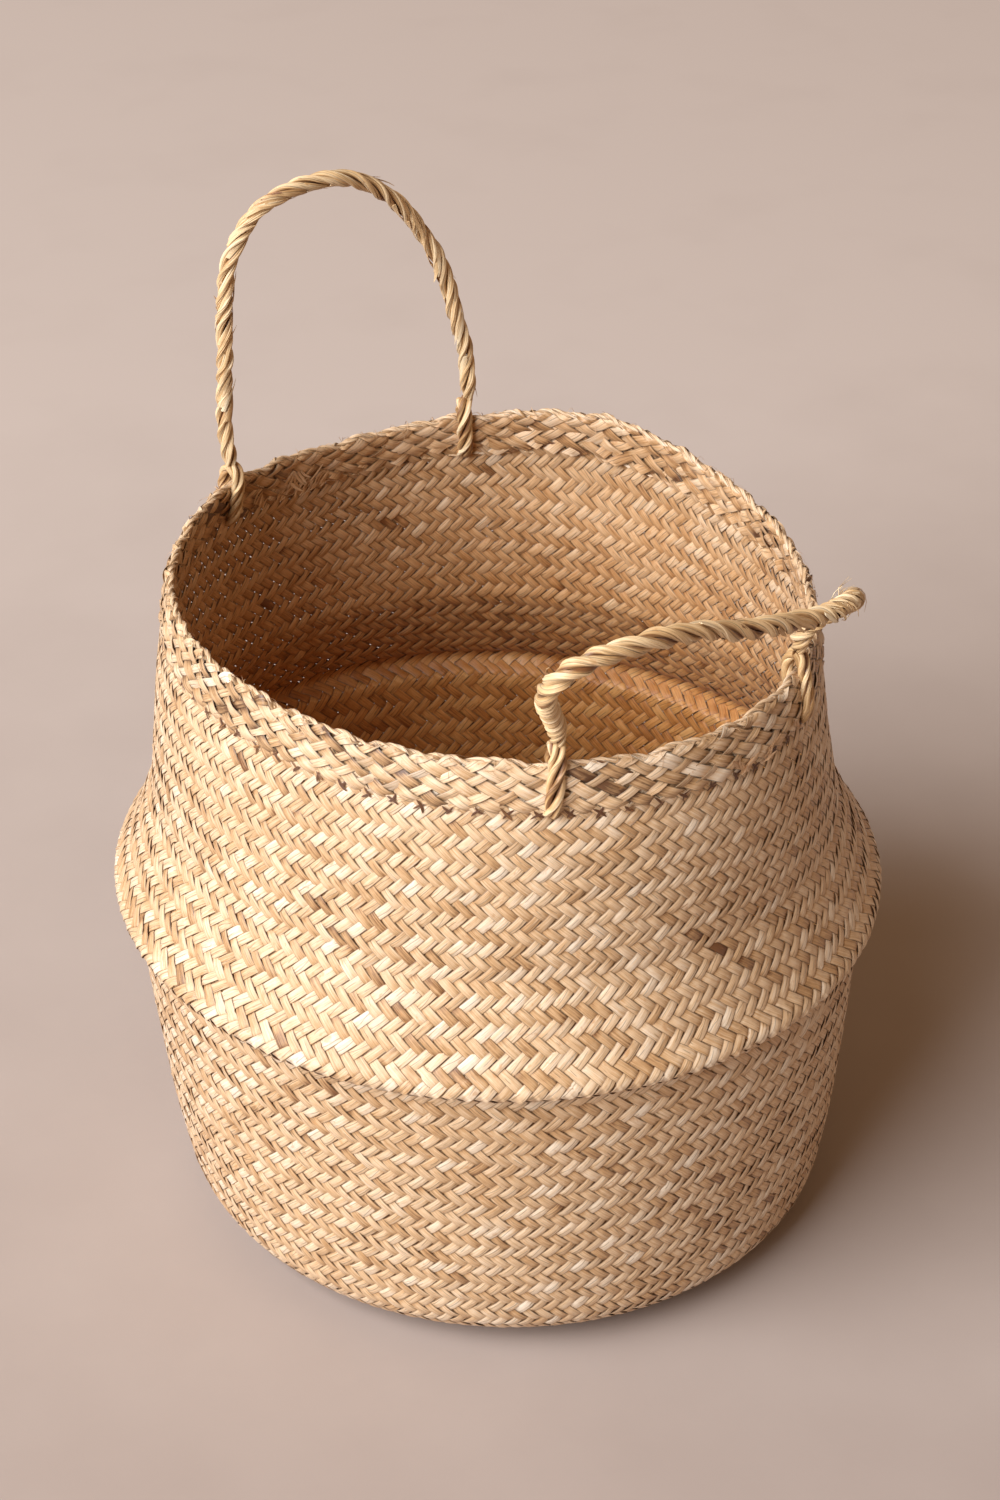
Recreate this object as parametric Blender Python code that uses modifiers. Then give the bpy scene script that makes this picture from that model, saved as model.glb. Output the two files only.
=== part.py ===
"""Belly basket: a round storage basket plaited from flat seagrass strips, with two rope handles.

The basket stands on its floor with +Z up, and the origin is the middle of the floor's underside.
From the bottom up the wall is a bowl, a belly fold that overhangs it, and a collar that ends in a
folded border. Each rope handle is an arch whose two roots sit on the border, and each root is
bound down by a tie that straddles the border and passes through the wall below it. The front
handle is at -Y and has flopped outwards, and the back handle is at +Y and stands up.
"""

import math

import bmesh
import bpy
from mathutils import Matrix, Vector

# The wall's outer side: a radius at each level, and the rise from the level below it, in metres
FLOOR_RADIUS = 0.1120
HEEL_TURN_RADIUS = 0.1693
HEEL_RADIUS = 0.1745
HEEL_RISE = 0.0300
BOWL_RADIUS = 0.1813
BOWL_RISE = 0.0471
CREASE_RADIUS = 0.1911
CREASE_RISE = 0.1074
BELLY_RADIUS = 0.2000
BELLY_RISE = 0.0066
FOLD_TOP_RADIUS = 0.1950
FOLD_TOP_RISE = 0.0099
SLOPE_RADIUS = 0.1871
SLOPE_RISE = 0.0171
NECK_RADIUS = 0.1774
NECK_RISE = 0.0260
COLLAR_RADIUS = 0.1730
COLLAR_RISE = 0.0460
THROAT_RADIUS = 0.1692
THROAT_RISE = 0.0328
RIM_RADIUS = 0.1614
RIM_RISE = 0.0390

# The plaited sheet and the folded border on its top edge
PLAIT_THICKNESS = 0.0030
BORDER_DEPTH = 0.0260
BORDER_THICKNESS = 0.0015
BORDER_EDGE_THICKNESS = 0.0009
BORDER_EDGE_DEPTH = 0.0020
LIP_HEIGHT = 0.0030
LIP_CREST_WIDTH = 0.0024

# The lip's rounding: how far down its height, and how far from its crest's edge to its full width
LIP_ROUND_SHARES = ((0.0, 0.0), (0.22, 0.5), (0.62, 1.0))

# How the hand-made shape departs from a true round: a lean, an oval mouth and three soft lobes
LEAN_REACH = 0.0137
LEAN_ANGLE = math.radians(148)
OVAL_REACH = 0.0086
OVAL_ANGLE = math.radians(85)
LOBE_REACH = 0.0039
LOBE_ANGLE = math.radians(42)

# The rope handles, and the ties that hold their roots
ROPE_RADIUS = 0.00575
BACK_RISE = 0.1520
FRONT_RISE = 0.0930
FRONT_REACH = 0.0570
TIE_RADIUS = 0.0036
TIE_CLEARANCE = 0.0008
TIE_TOP_DROP = 0.0015
TIE_SHOULDER_DROP = 0.0012
BACK_TIE_ANGLES = (math.radians(114.5), math.radians(63.5))
FRONT_TIE_ANGLES = (math.radians(-111), math.radians(-61))

# The arches, from the left root to the right one as seen from outside the back or the front:
# along the span, up as a share of the rise, and outwards as a share of the reach
BACK_ARCH_SHARES = (
    (0.000, 0.000, 0.0),
    (-0.014, 0.125, 0.0),
    (-0.016, 0.390, 0.0),
    (0.000, 0.640, 0.0),
    (0.030, 0.800, 0.0),
    (0.110, 0.920, 0.0),
    (0.220, 0.975, 0.0),
    (0.400, 1.000, 0.0),
    (0.545, 0.975, 0.0),
    (0.680, 0.885, 0.0),
    (0.815, 0.715, 0.0),
    (0.905, 0.513, 0.0),
    (0.965, 0.315, 0.0),
    (0.995, 0.120, 0.0),
    (1.000, 0.000, 0.0),
)
FRONT_ARCH_SHARES = (
    (0.000, 0.000, 0.000),
    (-0.035, 0.140, 0.050),
    (-0.095, 0.280, 0.160),
    (-0.185, 0.450, 0.390),
    (-0.265, 0.620, 0.630),
    (-0.308, 0.765, 0.760),
    (-0.308, 0.890, 0.860),
    (-0.225, 0.975, 0.950),
    (-0.060, 0.995, 1.000),
    (0.215, 0.865, 0.960),
    (0.470, 0.715, 0.850),
    (0.690, 0.580, 0.720),
    (0.860, 0.520, 0.620),
    (0.960, 0.540, 0.570),
    (1.030, 0.530, 0.500),
    (1.040, 0.455, 0.370),
    (0.995, 0.330, 0.215),
    (0.965, 0.215, 0.110),
    (0.975, 0.105, 0.040),
    (1.000, 0.000, 0.000),
)

# A rope's rounded end: how far out, and how wide, as shares of the rope's radius
DOME_SHARES = ((1.0, 0.28), (0.72, 0.69), (0.3, 0.954))

# Clearance between touching pieces, an overrun for cuts, and how finely round things are divided
SEAT_GAP = 0.0003
CUT_OVERRUN = 0.0040
TURN_STEPS = 60
CURVE_STEPS = 4
ROPE_STEPS = 3
TIE_STEPS = 10
HOLE_SIDES = 16
TIE_BEVEL_STEPS = 2
ROPE_BEVEL_STEPS = 4
SHARPEST_MITRE_SHARE = 0.5
MERGE_DISTANCE = 0.00001
SMOOTH_ANGLE = math.radians(40)

HEEL_HEIGHT = HEEL_RISE
BOWL_HEIGHT = HEEL_HEIGHT + BOWL_RISE
CREASE_HEIGHT = BOWL_HEIGHT + CREASE_RISE
BELLY_HEIGHT = CREASE_HEIGHT + BELLY_RISE
FOLD_TOP_HEIGHT = BELLY_HEIGHT + FOLD_TOP_RISE
SLOPE_HEIGHT = FOLD_TOP_HEIGHT + SLOPE_RISE
NECK_HEIGHT = SLOPE_HEIGHT + NECK_RISE
COLLAR_HEIGHT = NECK_HEIGHT + COLLAR_RISE
THROAT_HEIGHT = COLLAR_HEIGHT + THROAT_RISE
BASKET_HEIGHT = THROAT_HEIGHT + RIM_RISE

# The wall stops below the border's lip, which caps it and both border bands
WALL_TOP_HEIGHT = BASKET_HEIGHT - LIP_HEIGHT - SEAT_GAP
BORDER_PROUD = SEAT_GAP + BORDER_THICKNESS
BORDER_BOTTOM_HEIGHT = BASKET_HEIGHT - BORDER_DEPTH
LIP_WIDTH = PLAIT_THICKNESS + 2 * BORDER_PROUD

# A tie's legs stand clear of the border bands, and its bend passes below them through the wall
TIE_OFFSET = LIP_WIDTH / 2 + TIE_CLEARANCE + TIE_RADIUS
TIE_HOLE_RADIUS = TIE_RADIUS + TIE_CLEARANCE
TIE_BEND_HEIGHT = BORDER_BOTTOM_HEIGHT - TIE_OFFSET + TIE_SHOULDER_DROP
PIVOT_HEIGHT = BASKET_HEIGHT + SEAT_GAP + ROPE_RADIUS

# Colours read from the photograph by eye: red, green, blue, and roughness
STRAW = (0.74, 0.55, 0.33, 0.62)
PALE_STRAW = (0.80, 0.62, 0.40, 0.60)
SHADED_STRAW = (0.55, 0.36, 0.19, 0.68)
ROPE_STRAW = (0.78, 0.60, 0.34, 0.58)


def make_material(name, finish):
    """Returns a Principled material of one straw colour."""
    material = bpy.data.materials.new(name)
    material.use_nodes = True
    shader = material.node_tree.nodes["Principled BSDF"]
    red, green, blue, roughness = finish
    shader.inputs["Base Color"].default_value = (red, green, blue, 1)
    shader.inputs["Roughness"].default_value = roughness
    shader.inputs["Metallic"].default_value = 0
    material.diffuse_color = (red, green, blue, 1)
    return material


def make_collection(name):
    """Returns a new collection under the scene's own."""
    collection = bpy.data.collections.new(name)
    bpy.context.scene.collection.children.link(collection)
    return collection


def smoothstep(share):
    """Eases a share from 0 to 1, and holds it at 0 below and 1 above."""
    share = min(max(share, 0), 1)
    return share * share * (3 - 2 * share)


def hand_shape(point):
    """Moves a point of the true round basket to where the hand-made one has it."""
    angle = math.atan2(point.y, point.x)
    rise = min(point.z / BASKET_HEIGHT, 1)
    ease = smoothstep((point.z - BELLY_HEIGHT) / (BASKET_HEIGHT - BELLY_HEIGHT))
    oval = OVAL_REACH * math.cos(2 * (angle - OVAL_ANGLE))
    lobes = LOBE_REACH * math.cos(3 * (angle - LOBE_ANGLE))
    stretch = ease * (oval + lobes)
    lean = LEAN_REACH * rise
    return Vector(
        (
            point.x + stretch * math.cos(angle) + lean * math.cos(LEAN_ANGLE),
            point.y + stretch * math.sin(angle) + lean * math.sin(LEAN_ANGLE),
            point.z,
        )
    )


def spline_value(before, start, end, after, t):
    """Returns the Catmull-Rom value between start and end at a share t."""
    slope = end - before
    bend = 2 * before - 5 * start + 4 * end - after
    turn = 3 * start - before - 3 * end + after
    return (2 * start + slope * t + bend * t**2 + turn * t**3) / 2


def smooth_through(points, steps):
    """Returns a curve through points of any size, with its ends kept: a Catmull-Rom spline."""
    ends = [points[0], *points, points[-1]]
    curve = []
    for four_points in zip(ends, ends[1:], ends[2:], ends[3:]):
        for step in range(steps):
            curve.append(tuple(spline_value(*values, step / steps) for values in zip(*four_points)))
    curve.append(tuple(points[-1]))
    return curve


def turn_through(start, middle, end, steps):
    """Returns a rounded turn from start to end that passes through middle half way."""
    control = [2 * m - (s + e) / 2 for s, m, e in zip(start, middle, end)]
    return [
        tuple(s * (1 - t) ** 2 + 2 * c * t * (1 - t) + e * t * t for s, c, e in zip(start, control, end))
        for t in (step / steps for step in range(steps + 1))
    ]


def base_line():
    """Returns the outer side of the floor and heel, from the axis outwards."""
    start = (FLOOR_RADIUS, 0)
    corner = (HEEL_TURN_RADIUS, 0)
    end = (HEEL_RADIUS, HEEL_HEIGHT)
    middle = tuple((s + 2 * c + e) / 4 for s, c, e in zip(start, corner, end))
    return [(0, 0)] + turn_through(start, middle, end, CURVE_STEPS + 2)


def bowl_line():
    """Returns the outer side of the bowl's wall, from the heel to the crease."""
    return smooth_through(
        [(HEEL_RADIUS, HEEL_HEIGHT), (BOWL_RADIUS, BOWL_HEIGHT), (CREASE_RADIUS, CREASE_HEIGHT)], CURVE_STEPS
    )


def belly_line():
    """Returns the outer side of the belly, from the crease over the fold to the neck."""
    crease = (CREASE_RADIUS, CREASE_HEIGHT)
    belly = (BELLY_RADIUS, BELLY_HEIGHT)
    fold_top = (FOLD_TOP_RADIUS, FOLD_TOP_HEIGHT)
    fold = turn_through(crease, belly, fold_top, CURVE_STEPS)
    slope = smooth_through(
        [fold_top, (SLOPE_RADIUS, SLOPE_HEIGHT), (NECK_RADIUS, NECK_HEIGHT)],
        CURVE_STEPS // 2,
    )
    return fold + slope[1:]


def collar_line():
    """Returns the outer side of the collar, from the neck to the rim."""
    return smooth_through(
        [
            (NECK_RADIUS, NECK_HEIGHT),
            (COLLAR_RADIUS, COLLAR_HEIGHT),
            (THROAT_RADIUS, THROAT_HEIGHT),
            (RIM_RADIUS, BASKET_HEIGHT),
        ],
        CURVE_STEPS - 1,
    )


def radius_at(line, height):
    """Returns the outer radius of a wall line at a height."""
    for low, high in zip(line, line[1:]):
        if low[1] <= height <= high[1]:
            share = (height - low[1]) / (high[1] - low[1])
            return low[0] + (high[0] - low[0]) * share
    return line[-1][0]


def cut_line(line, top_height):
    """Returns a rising line as far as a height, with its last point at that height."""
    kept = [point for point in line if point[1] < top_height - MERGE_DISTANCE]
    return kept + [(radius_at(line, top_height), top_height)]


def left_normals(line):
    """Returns the mitred step to the left of each point for a sheet of thickness 1."""
    directions = [(Vector(b) - Vector(a)).normalized() for a, b in zip(line, line[1:])]
    normals = []
    for index in range(len(line)):
        before = directions[max(index - 1, 0)]
        after = directions[min(index, len(directions) - 1)]
        side = Vector((-(before.y + after.y), before.x + after.x)).normalized()
        normals.append(side / max(side.dot(Vector((-after.y, after.x))), SHARPEST_MITRE_SHARE))
    return normals


def plait_outline(line, trim_bottom, trim_top):
    """Returns the closed section of one zone of the plaited sheet, with its inner side to the left.

    The zone takes the mitres of the whole sheet, so that two zones meet face to face. Each trimmed
    end stops half a seat gap short, and the outline runs down the outer side first.
    """
    whole = whole_line()
    first = min(range(len(whole)), key=lambda index: math.dist(whole[index], line[0]))
    steps = left_normals(whole)[first : first + len(line)]
    outer = [Vector(point) for point in line]
    inner = [point + step * PLAIT_THICKNESS for point, step in zip(outer, steps)]
    for side in (outer, inner):
        if trim_bottom:
            side[0] = side[0] + (side[1] - side[0]).normalized() * SEAT_GAP / 2
        if trim_top:
            side[-1] = side[-1] + (side[-2] - side[-1]).normalized() * SEAT_GAP / 2
    return outer[::-1] + inner


def turned_mesh(name, outline, closed):
    """Turns a section round the Z axis with a Screw modifier, then gives it the hand-made shape."""
    mesh = bpy.data.meshes.new(name + "_section")
    edges = [(index, index + 1) for index in range(len(outline) - 1)]
    if closed:
        edges.append((len(outline) - 1, 0))
    mesh.from_pydata([(point[0], 0, point[1]) for point in outline], edges, [])
    section = bpy.data.objects.new(name + "_section", mesh)
    bpy.context.scene.collection.objects.link(section)
    screw = section.modifiers.new("Turn", "SCREW")
    screw.axis = "Z"
    screw.angle = math.tau
    screw.steps = TURN_STEPS
    screw.render_steps = TURN_STEPS
    screw.use_merge_vertices = True
    screw.merge_threshold = MERGE_DISTANCE
    bpy.context.view_layer.update()
    evaluated = section.evaluated_get(bpy.context.evaluated_depsgraph_get())
    turned = bpy.data.meshes.new_from_object(evaluated)
    turned.name = name
    bpy.data.objects.remove(section)
    for vertex in turned.vertices:
        vertex.co = hand_shape(vertex.co)
    turned.shade_smooth()
    turned.set_sharp_from_angle(angle=SMOOTH_ANGLE)
    return turned


def place_piece(name, mesh, collection, material, origin=None):
    """Makes the named piece, with its mesh's points measured from its origin."""
    origin = origin or Vector((0, 0, 0))
    mesh.transform(Matrix.Translation(-origin))
    piece = bpy.data.objects.new(name, mesh)
    piece.location = origin
    mesh.materials.clear()
    mesh.materials.append(material)
    collection.objects.link(piece)
    return piece


def tube_mesh(name, points, radii, bevel_steps):
    """Returns a capped tube through points as one closed mesh: a bevelled poly curve."""
    curve = bpy.data.curves.new(name, "CURVE")
    curve.dimensions = "3D"
    curve.bevel_depth = 1
    curve.bevel_resolution = bevel_steps
    curve.use_fill_caps = True
    spline = curve.splines.new("POLY")
    spline.points.add(len(points) - 1)
    for spline_point, point, radius in zip(spline.points, points, radii):
        spline_point.co = (*point, 1)
        spline_point.radius = radius
    holder = bpy.data.objects.new(name, curve)
    bpy.context.scene.collection.objects.link(holder)
    bpy.context.view_layer.update()
    evaluated = holder.evaluated_get(bpy.context.evaluated_depsgraph_get())
    mesh = bpy.data.meshes.new_from_object(evaluated)
    bpy.data.objects.remove(holder)
    bpy.data.curves.remove(curve)
    welded = bmesh.new()
    welded.from_mesh(mesh)
    bmesh.ops.remove_doubles(welded, verts=welded.verts, dist=MERGE_DISTANCE)
    bmesh.ops.recalc_face_normals(welded, faces=welded.faces)
    welded.to_mesh(mesh)
    welded.free()
    mesh.shade_smooth()
    mesh.set_sharp_from_angle(angle=SMOOTH_ANGLE)
    return mesh


def domed_ends(points, radius):
    """Returns points with two extra ones at each end, and radii that round both ends off."""
    back = (points[0] - points[1]).normalized() * radius
    onward = (points[-1] - points[-2]).normalized() * radius
    head = [points[0] + back * out for out, _ in DOME_SHARES]
    tail = [points[-1] + onward * out for out, _ in reversed(DOME_SHARES)]
    head_radii = [radius * width for _, width in DOME_SHARES]
    return head + points + tail, head_radii + [radius] * len(points) + head_radii[::-1]


def wall_middle(angle, height, offset):
    """Returns a point offset outwards from the middle of the collar's sheet, on the hand-made shape."""
    radius = radius_at(collar_line(), height) - PLAIT_THICKNESS / 2 + offset
    return hand_shape(Vector((radius * math.cos(angle), radius * math.sin(angle), height)))


def pivot_point(angle):
    """Returns the point above the border's lip that a handle's root turns about."""
    top = wall_middle(angle, BASKET_HEIGHT, 0)
    return Vector((top.x, top.y, PIVOT_HEIGHT))


def whole_line():
    """Returns the outer side of the plaited sheet, from the floor's middle to its top edge."""
    return base_line() + bowl_line()[1:] + belly_line()[1:] + cut_line(collar_line(), WALL_TOP_HEIGHT)[1:]


def build_base(collection, material):
    """The plaited floor mat and the heel where it turns up, open above."""
    line = base_line()
    outline = plait_outline(line, False, True)
    outer, inner = outline[: len(line)], outline[len(line) :]
    inner[0] = Vector((0, PLAIT_THICKNESS))
    place_piece("woven_base", turned_mesh("woven_base", inner + outer, False), collection, material)


def build_wall_zones(collection, material):
    """The bowl's wall, the belly fold and the collar's wall, each a zone of the one plaited sheet."""
    zones = {
        "lower_wall": (bowl_line(), True),
        "belly_fold": (belly_line(), True),
        "upper_wall": (cut_line(collar_line(), WALL_TOP_HEIGHT), False),
    }
    pieces = {}
    for name, (line, trim_top) in zones.items():
        outline = plait_outline(line, True, trim_top)
        pieces[name] = place_piece(name, turned_mesh(name, outline, True), collection, material)
    return pieces


def border_outline(outward):
    """Returns the section of a border band that lies on the collar, outside it or inside it."""
    line = collar_line()
    top = WALL_TOP_HEIGHT
    edge_top = BORDER_BOTTOM_HEIGHT + BORDER_EDGE_DEPTH
    heights = (BORDER_BOTTOM_HEIGHT, edge_top, (BORDER_BOTTOM_HEIGHT + top) / 2, top)
    thicknesses = (BORDER_EDGE_THICKNESS, BORDER_THICKNESS, BORDER_THICKNESS, BORDER_THICKNESS)
    near = []
    far = []
    for height, thickness in zip(heights, thicknesses):
        if outward:
            face = radius_at(line, height) + SEAT_GAP
            near.append(Vector((face, height)))
            far.append(Vector((face + thickness, height)))
        else:
            face = radius_at(line, height) - PLAIT_THICKNESS - 2 * SEAT_GAP
            far.append(Vector((face, height)))
            near.append(Vector((face - thickness, height)))
    return far[::-1] + near


def build_border(collection, material):
    """The strips folded down over both sides of the top edge, as one band on each side."""
    for name, outward in (("outer_border", True), ("inner_border", False)):
        place_piece(name, turned_mesh(name, border_outline(outward), True), collection, material)


def build_lip(collection, material):
    """The rolled crest of the folded strips, which caps the sheet and both border bands."""
    line = collar_line()
    middle = radius_at(line, BASKET_HEIGHT) - PLAIT_THICKNESS / 2
    bottom = BASKET_HEIGHT - LIP_HEIGHT
    half_width = LIP_WIDTH / 2
    half_crest = LIP_CREST_WIDTH / 2
    outer = []
    inner = []
    for down, out in LIP_ROUND_SHARES:
        reach = half_crest + (half_width - half_crest) * out
        height = BASKET_HEIGHT - LIP_HEIGHT * down
        outer.append((middle + reach, height))
        inner.append((middle - reach, height))
    base = [(middle + half_width, bottom), (middle - half_width, bottom)]
    outline = [Vector(point) for point in outer + base + inner[::-1]]
    place_piece("rim_lip", turned_mesh("rim_lip", outline, True), collection, material)


def tie_path(angle):
    """Returns the U of one tie: down outside the border, through the wall and up inside it."""
    leg_top = BASKET_HEIGHT - TIE_TOP_DROP - TIE_RADIUS
    bend_centre = TIE_BEND_HEIGHT + TIE_OFFSET
    path = [(TIE_OFFSET, leg_top), (TIE_OFFSET, (leg_top + bend_centre) / 2)]
    for step in range(TIE_STEPS + 1):
        turn = math.pi * step / TIE_STEPS
        path.append((TIE_OFFSET * math.cos(turn), bend_centre - TIE_OFFSET * math.sin(turn)))
    path += [(-TIE_OFFSET, (leg_top + bend_centre) / 2), (-TIE_OFFSET, leg_top)]
    return [wall_middle(angle, height, offset) for offset, height in path]


def build_ties(collection, material, cutters, upper_wall):
    """The four ties, and the hole that each one passes through in the wall."""
    angles = {
        "back_left_tie": BACK_TIE_ANGLES[0],
        "back_right_tie": BACK_TIE_ANGLES[1],
        "front_left_tie": FRONT_TIE_ANGLES[0],
        "front_right_tie": FRONT_TIE_ANGLES[1],
    }
    for name, angle in angles.items():
        points, radii = domed_ends(tie_path(angle), TIE_RADIUS)
        place_piece(name, tube_mesh(name, points, radii, TIE_BEVEL_STEPS), collection, material)
        cut_tie_hole(name + "_hole", angle, cutters, upper_wall)


def cut_tie_hole(name, angle, cutters, upper_wall):
    """Cuts the round hole that a tie's bend passes through."""
    round_bar = bmesh.new()
    bmesh.ops.create_cone(
        round_bar,
        cap_ends=True,
        segments=HOLE_SIDES,
        radius1=TIE_HOLE_RADIUS,
        radius2=TIE_HOLE_RADIUS,
        depth=PLAIT_THICKNESS + 2 * CUT_OVERRUN,
    )
    mesh = bpy.data.meshes.new(name)
    round_bar.to_mesh(mesh)
    round_bar.free()
    cutter = bpy.data.objects.new(name, mesh)
    outer = wall_middle(angle, TIE_BEND_HEIGHT, TIE_OFFSET)
    inner = wall_middle(angle, TIE_BEND_HEIGHT, -TIE_OFFSET)
    cutter.rotation_euler = (outer - inner).to_track_quat("Z", "Y").to_euler()
    cutter.location = (outer + inner) / 2
    cutter.hide_render = True
    cutter.display_type = "WIRE"
    cutters.objects.link(cutter)
    hole = upper_wall.modifiers.new(name, "BOOLEAN")
    hole.operation = "DIFFERENCE"
    hole.object = cutter


def arch_points(tie_angles, shares, rise, reach):
    """Returns the middle line of a handle from root to root, and the middle of its hinge axis."""
    start = pivot_point(tie_angles[0])
    end = pivot_point(tie_angles[1])
    span = end - start
    outwards = Vector((span.y, -span.x, 0)).normalized()
    middle = (start + end) / 2
    if outwards.dot(middle) < 0:
        outwards = -outwards
    guide = []
    for along, up, out in shares:
        guide.append(start + span * along + Vector((0, 0, rise * up)) + outwards * reach * out)
    return [Vector(point) for point in smooth_through(guide, ROPE_STEPS)], middle


def build_handles(collection, material):
    """The two rope arches. Each one's origin is the middle of the axis through its two roots."""
    handles = {
        "back_handle_rope": (BACK_TIE_ANGLES, BACK_ARCH_SHARES, BACK_RISE, 0),
        "front_handle_rope": (FRONT_TIE_ANGLES, FRONT_ARCH_SHARES, FRONT_RISE, FRONT_REACH),
    }
    for name, (tie_angles, shares, rise, reach) in handles.items():
        line, middle = arch_points(tie_angles, shares, rise, reach)
        points, radii = domed_ends(line, ROPE_RADIUS)
        place_piece(name, tube_mesh(name, points, radii, ROPE_BEVEL_STEPS), collection, material, middle)


def main():
    """Builds the whole basket in an empty scene."""
    for thing in list(bpy.data.objects):
        bpy.data.objects.remove(thing)
    parts = make_collection("belly_basket")
    cutters = make_collection("cutters")
    straw = make_material("straw", STRAW)
    pale_straw = make_material("pale_straw", PALE_STRAW)
    shaded_straw = make_material("shaded_straw", SHADED_STRAW)
    rope_straw = make_material("rope_straw", ROPE_STRAW)
    build_base(parts, shaded_straw)
    walls = build_wall_zones(parts, straw)
    build_border(parts, pale_straw)
    build_lip(parts, pale_straw)
    build_ties(parts, rope_straw, cutters, walls["upper_wall"])
    build_handles(parts, rope_straw)


main()
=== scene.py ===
"""A belly basket plaited from flat seagrass strips, with a folded border and twisted rope handles.

Every strip is a ribbon of its own, laid over and under the strips that it crosses. The sheet follows
the same hand-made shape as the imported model: a bowl, a fold round the belly and a narrower collar.
"""

import logging
import math
from dataclasses import dataclass
from enum import Enum

import bpy
import numpy as np
from mathutils import Matrix, Vector


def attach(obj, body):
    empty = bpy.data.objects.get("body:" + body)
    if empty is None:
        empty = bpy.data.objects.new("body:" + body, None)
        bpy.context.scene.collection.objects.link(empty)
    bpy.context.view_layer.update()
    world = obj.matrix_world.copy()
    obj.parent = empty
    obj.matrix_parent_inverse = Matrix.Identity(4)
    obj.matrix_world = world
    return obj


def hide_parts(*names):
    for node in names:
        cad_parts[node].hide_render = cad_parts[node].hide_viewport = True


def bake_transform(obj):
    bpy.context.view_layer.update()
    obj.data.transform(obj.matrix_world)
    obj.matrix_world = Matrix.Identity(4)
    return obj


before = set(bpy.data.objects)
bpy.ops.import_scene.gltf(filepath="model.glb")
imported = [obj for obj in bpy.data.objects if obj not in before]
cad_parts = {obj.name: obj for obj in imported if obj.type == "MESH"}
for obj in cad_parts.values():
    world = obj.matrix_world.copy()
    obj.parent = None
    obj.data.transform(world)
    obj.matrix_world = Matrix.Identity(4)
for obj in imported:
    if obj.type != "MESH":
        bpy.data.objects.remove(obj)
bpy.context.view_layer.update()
LOG = logging.getLogger("basket")


class Part(Enum):
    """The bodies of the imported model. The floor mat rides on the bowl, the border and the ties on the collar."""

    BOWL = "bowl"
    COLLAR = "collar"
    BACK_HANDLE = "back_handle"
    FRONT_HANDLE = "front_handle"


class Slot(Enum):
    """The material slots."""

    WALL = "wall_straw"
    BORDER = "border_straw"
    BASE = "base_straw"
    ROPE = "rope_straw"


class Lean(Enum):
    """Which way a strip leans as it climbs, seen from outside."""

    RIGHT = 1
    LEFT = -1


# The outer side of the plaited sheet, in metres: a radius and a height at each turn of its outline
FLOOR_EDGE = (0.1120, 0.0)
HEEL_CORNER = (0.1693, 0.0)
HEEL_TOP = (0.1745, 0.0300)
BOWL_MIDDLE = (0.1813, 0.0771)
CREASE = (0.1911, 0.1845)
BELLY = (0.2000, 0.1911)
FOLD_TOP = (0.1950, 0.2010)
SLOPE = (0.1871, 0.2181)
NECK = (0.1774, 0.2441)
COLLAR_MIDDLE = (0.1730, 0.2901)
THROAT = (0.1692, 0.3229)
RIM = (0.1614, 0.3619)
SHEET_THICKNESS = 0.0030


def curve_through(points: list, steps: int) -> list:
    """A smooth curve through points of any size, with its ends kept.

    Args:
        points: The points, as tuples of equal length.
        steps: How many stretches lie between two points.

    Returns:
        The curve's points, as tuples.
    """
    ends = [points[0], *points, points[-1]]
    curve = []
    for four in zip(ends, ends[1:], ends[2:], ends[3:]):
        for step in range(steps):
            t = step / steps
            curve.append(
                tuple(
                    (2 * b + (c - a) * t + (2 * a - 5 * b + 4 * c - d) * t**2 + (3 * b - a - 3 * c + d) * t**3) / 2
                    for a, b, c, d in zip(*four)
                )
            )
    return curve + [tuple(points[-1])]


def round_turn(start: tuple, control: tuple, end: tuple, steps: int) -> list:
    """A rounded turn from start to end, pulled towards a control point.

    Args:
        start: Where the turn begins.
        control: The corner that it is pulled towards.
        end: Where it ends.
        steps: How many stretches it has.

    Returns:
        The turn's points, as tuples.
    """
    shares = [step / steps for step in range(steps + 1)]
    return [tuple(s * (1 - t) ** 2 + 2 * c * t * (1 - t) + e * t * t for s, c, e in zip(start, control, end)) for t in shares]


def smooth_noise(seed: int, shape: tuple, reach: int) -> np.ndarray:
    """Seeded noise from -1 to 1 that changes slowly along its last axis.

    Args:
        seed: The seed.
        shape: The shape of the array.
        reach: How many values lie between two random ones.

    Returns:
        The noise.
    """
    rng = np.random.default_rng(seed)
    knots = shape[-1] // reach + 3
    values = rng.uniform(-1, 1, (*shape[:-1], knots))
    place = np.arange(shape[-1]) / reach + rng.uniform(0, 1)
    low = np.floor(place).astype(int)
    share = place - low
    share = share * share * (3 - 2 * share)
    return values[..., low] * (1 - share) + values[..., np.minimum(low + 1, knots - 1)] * share


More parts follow.
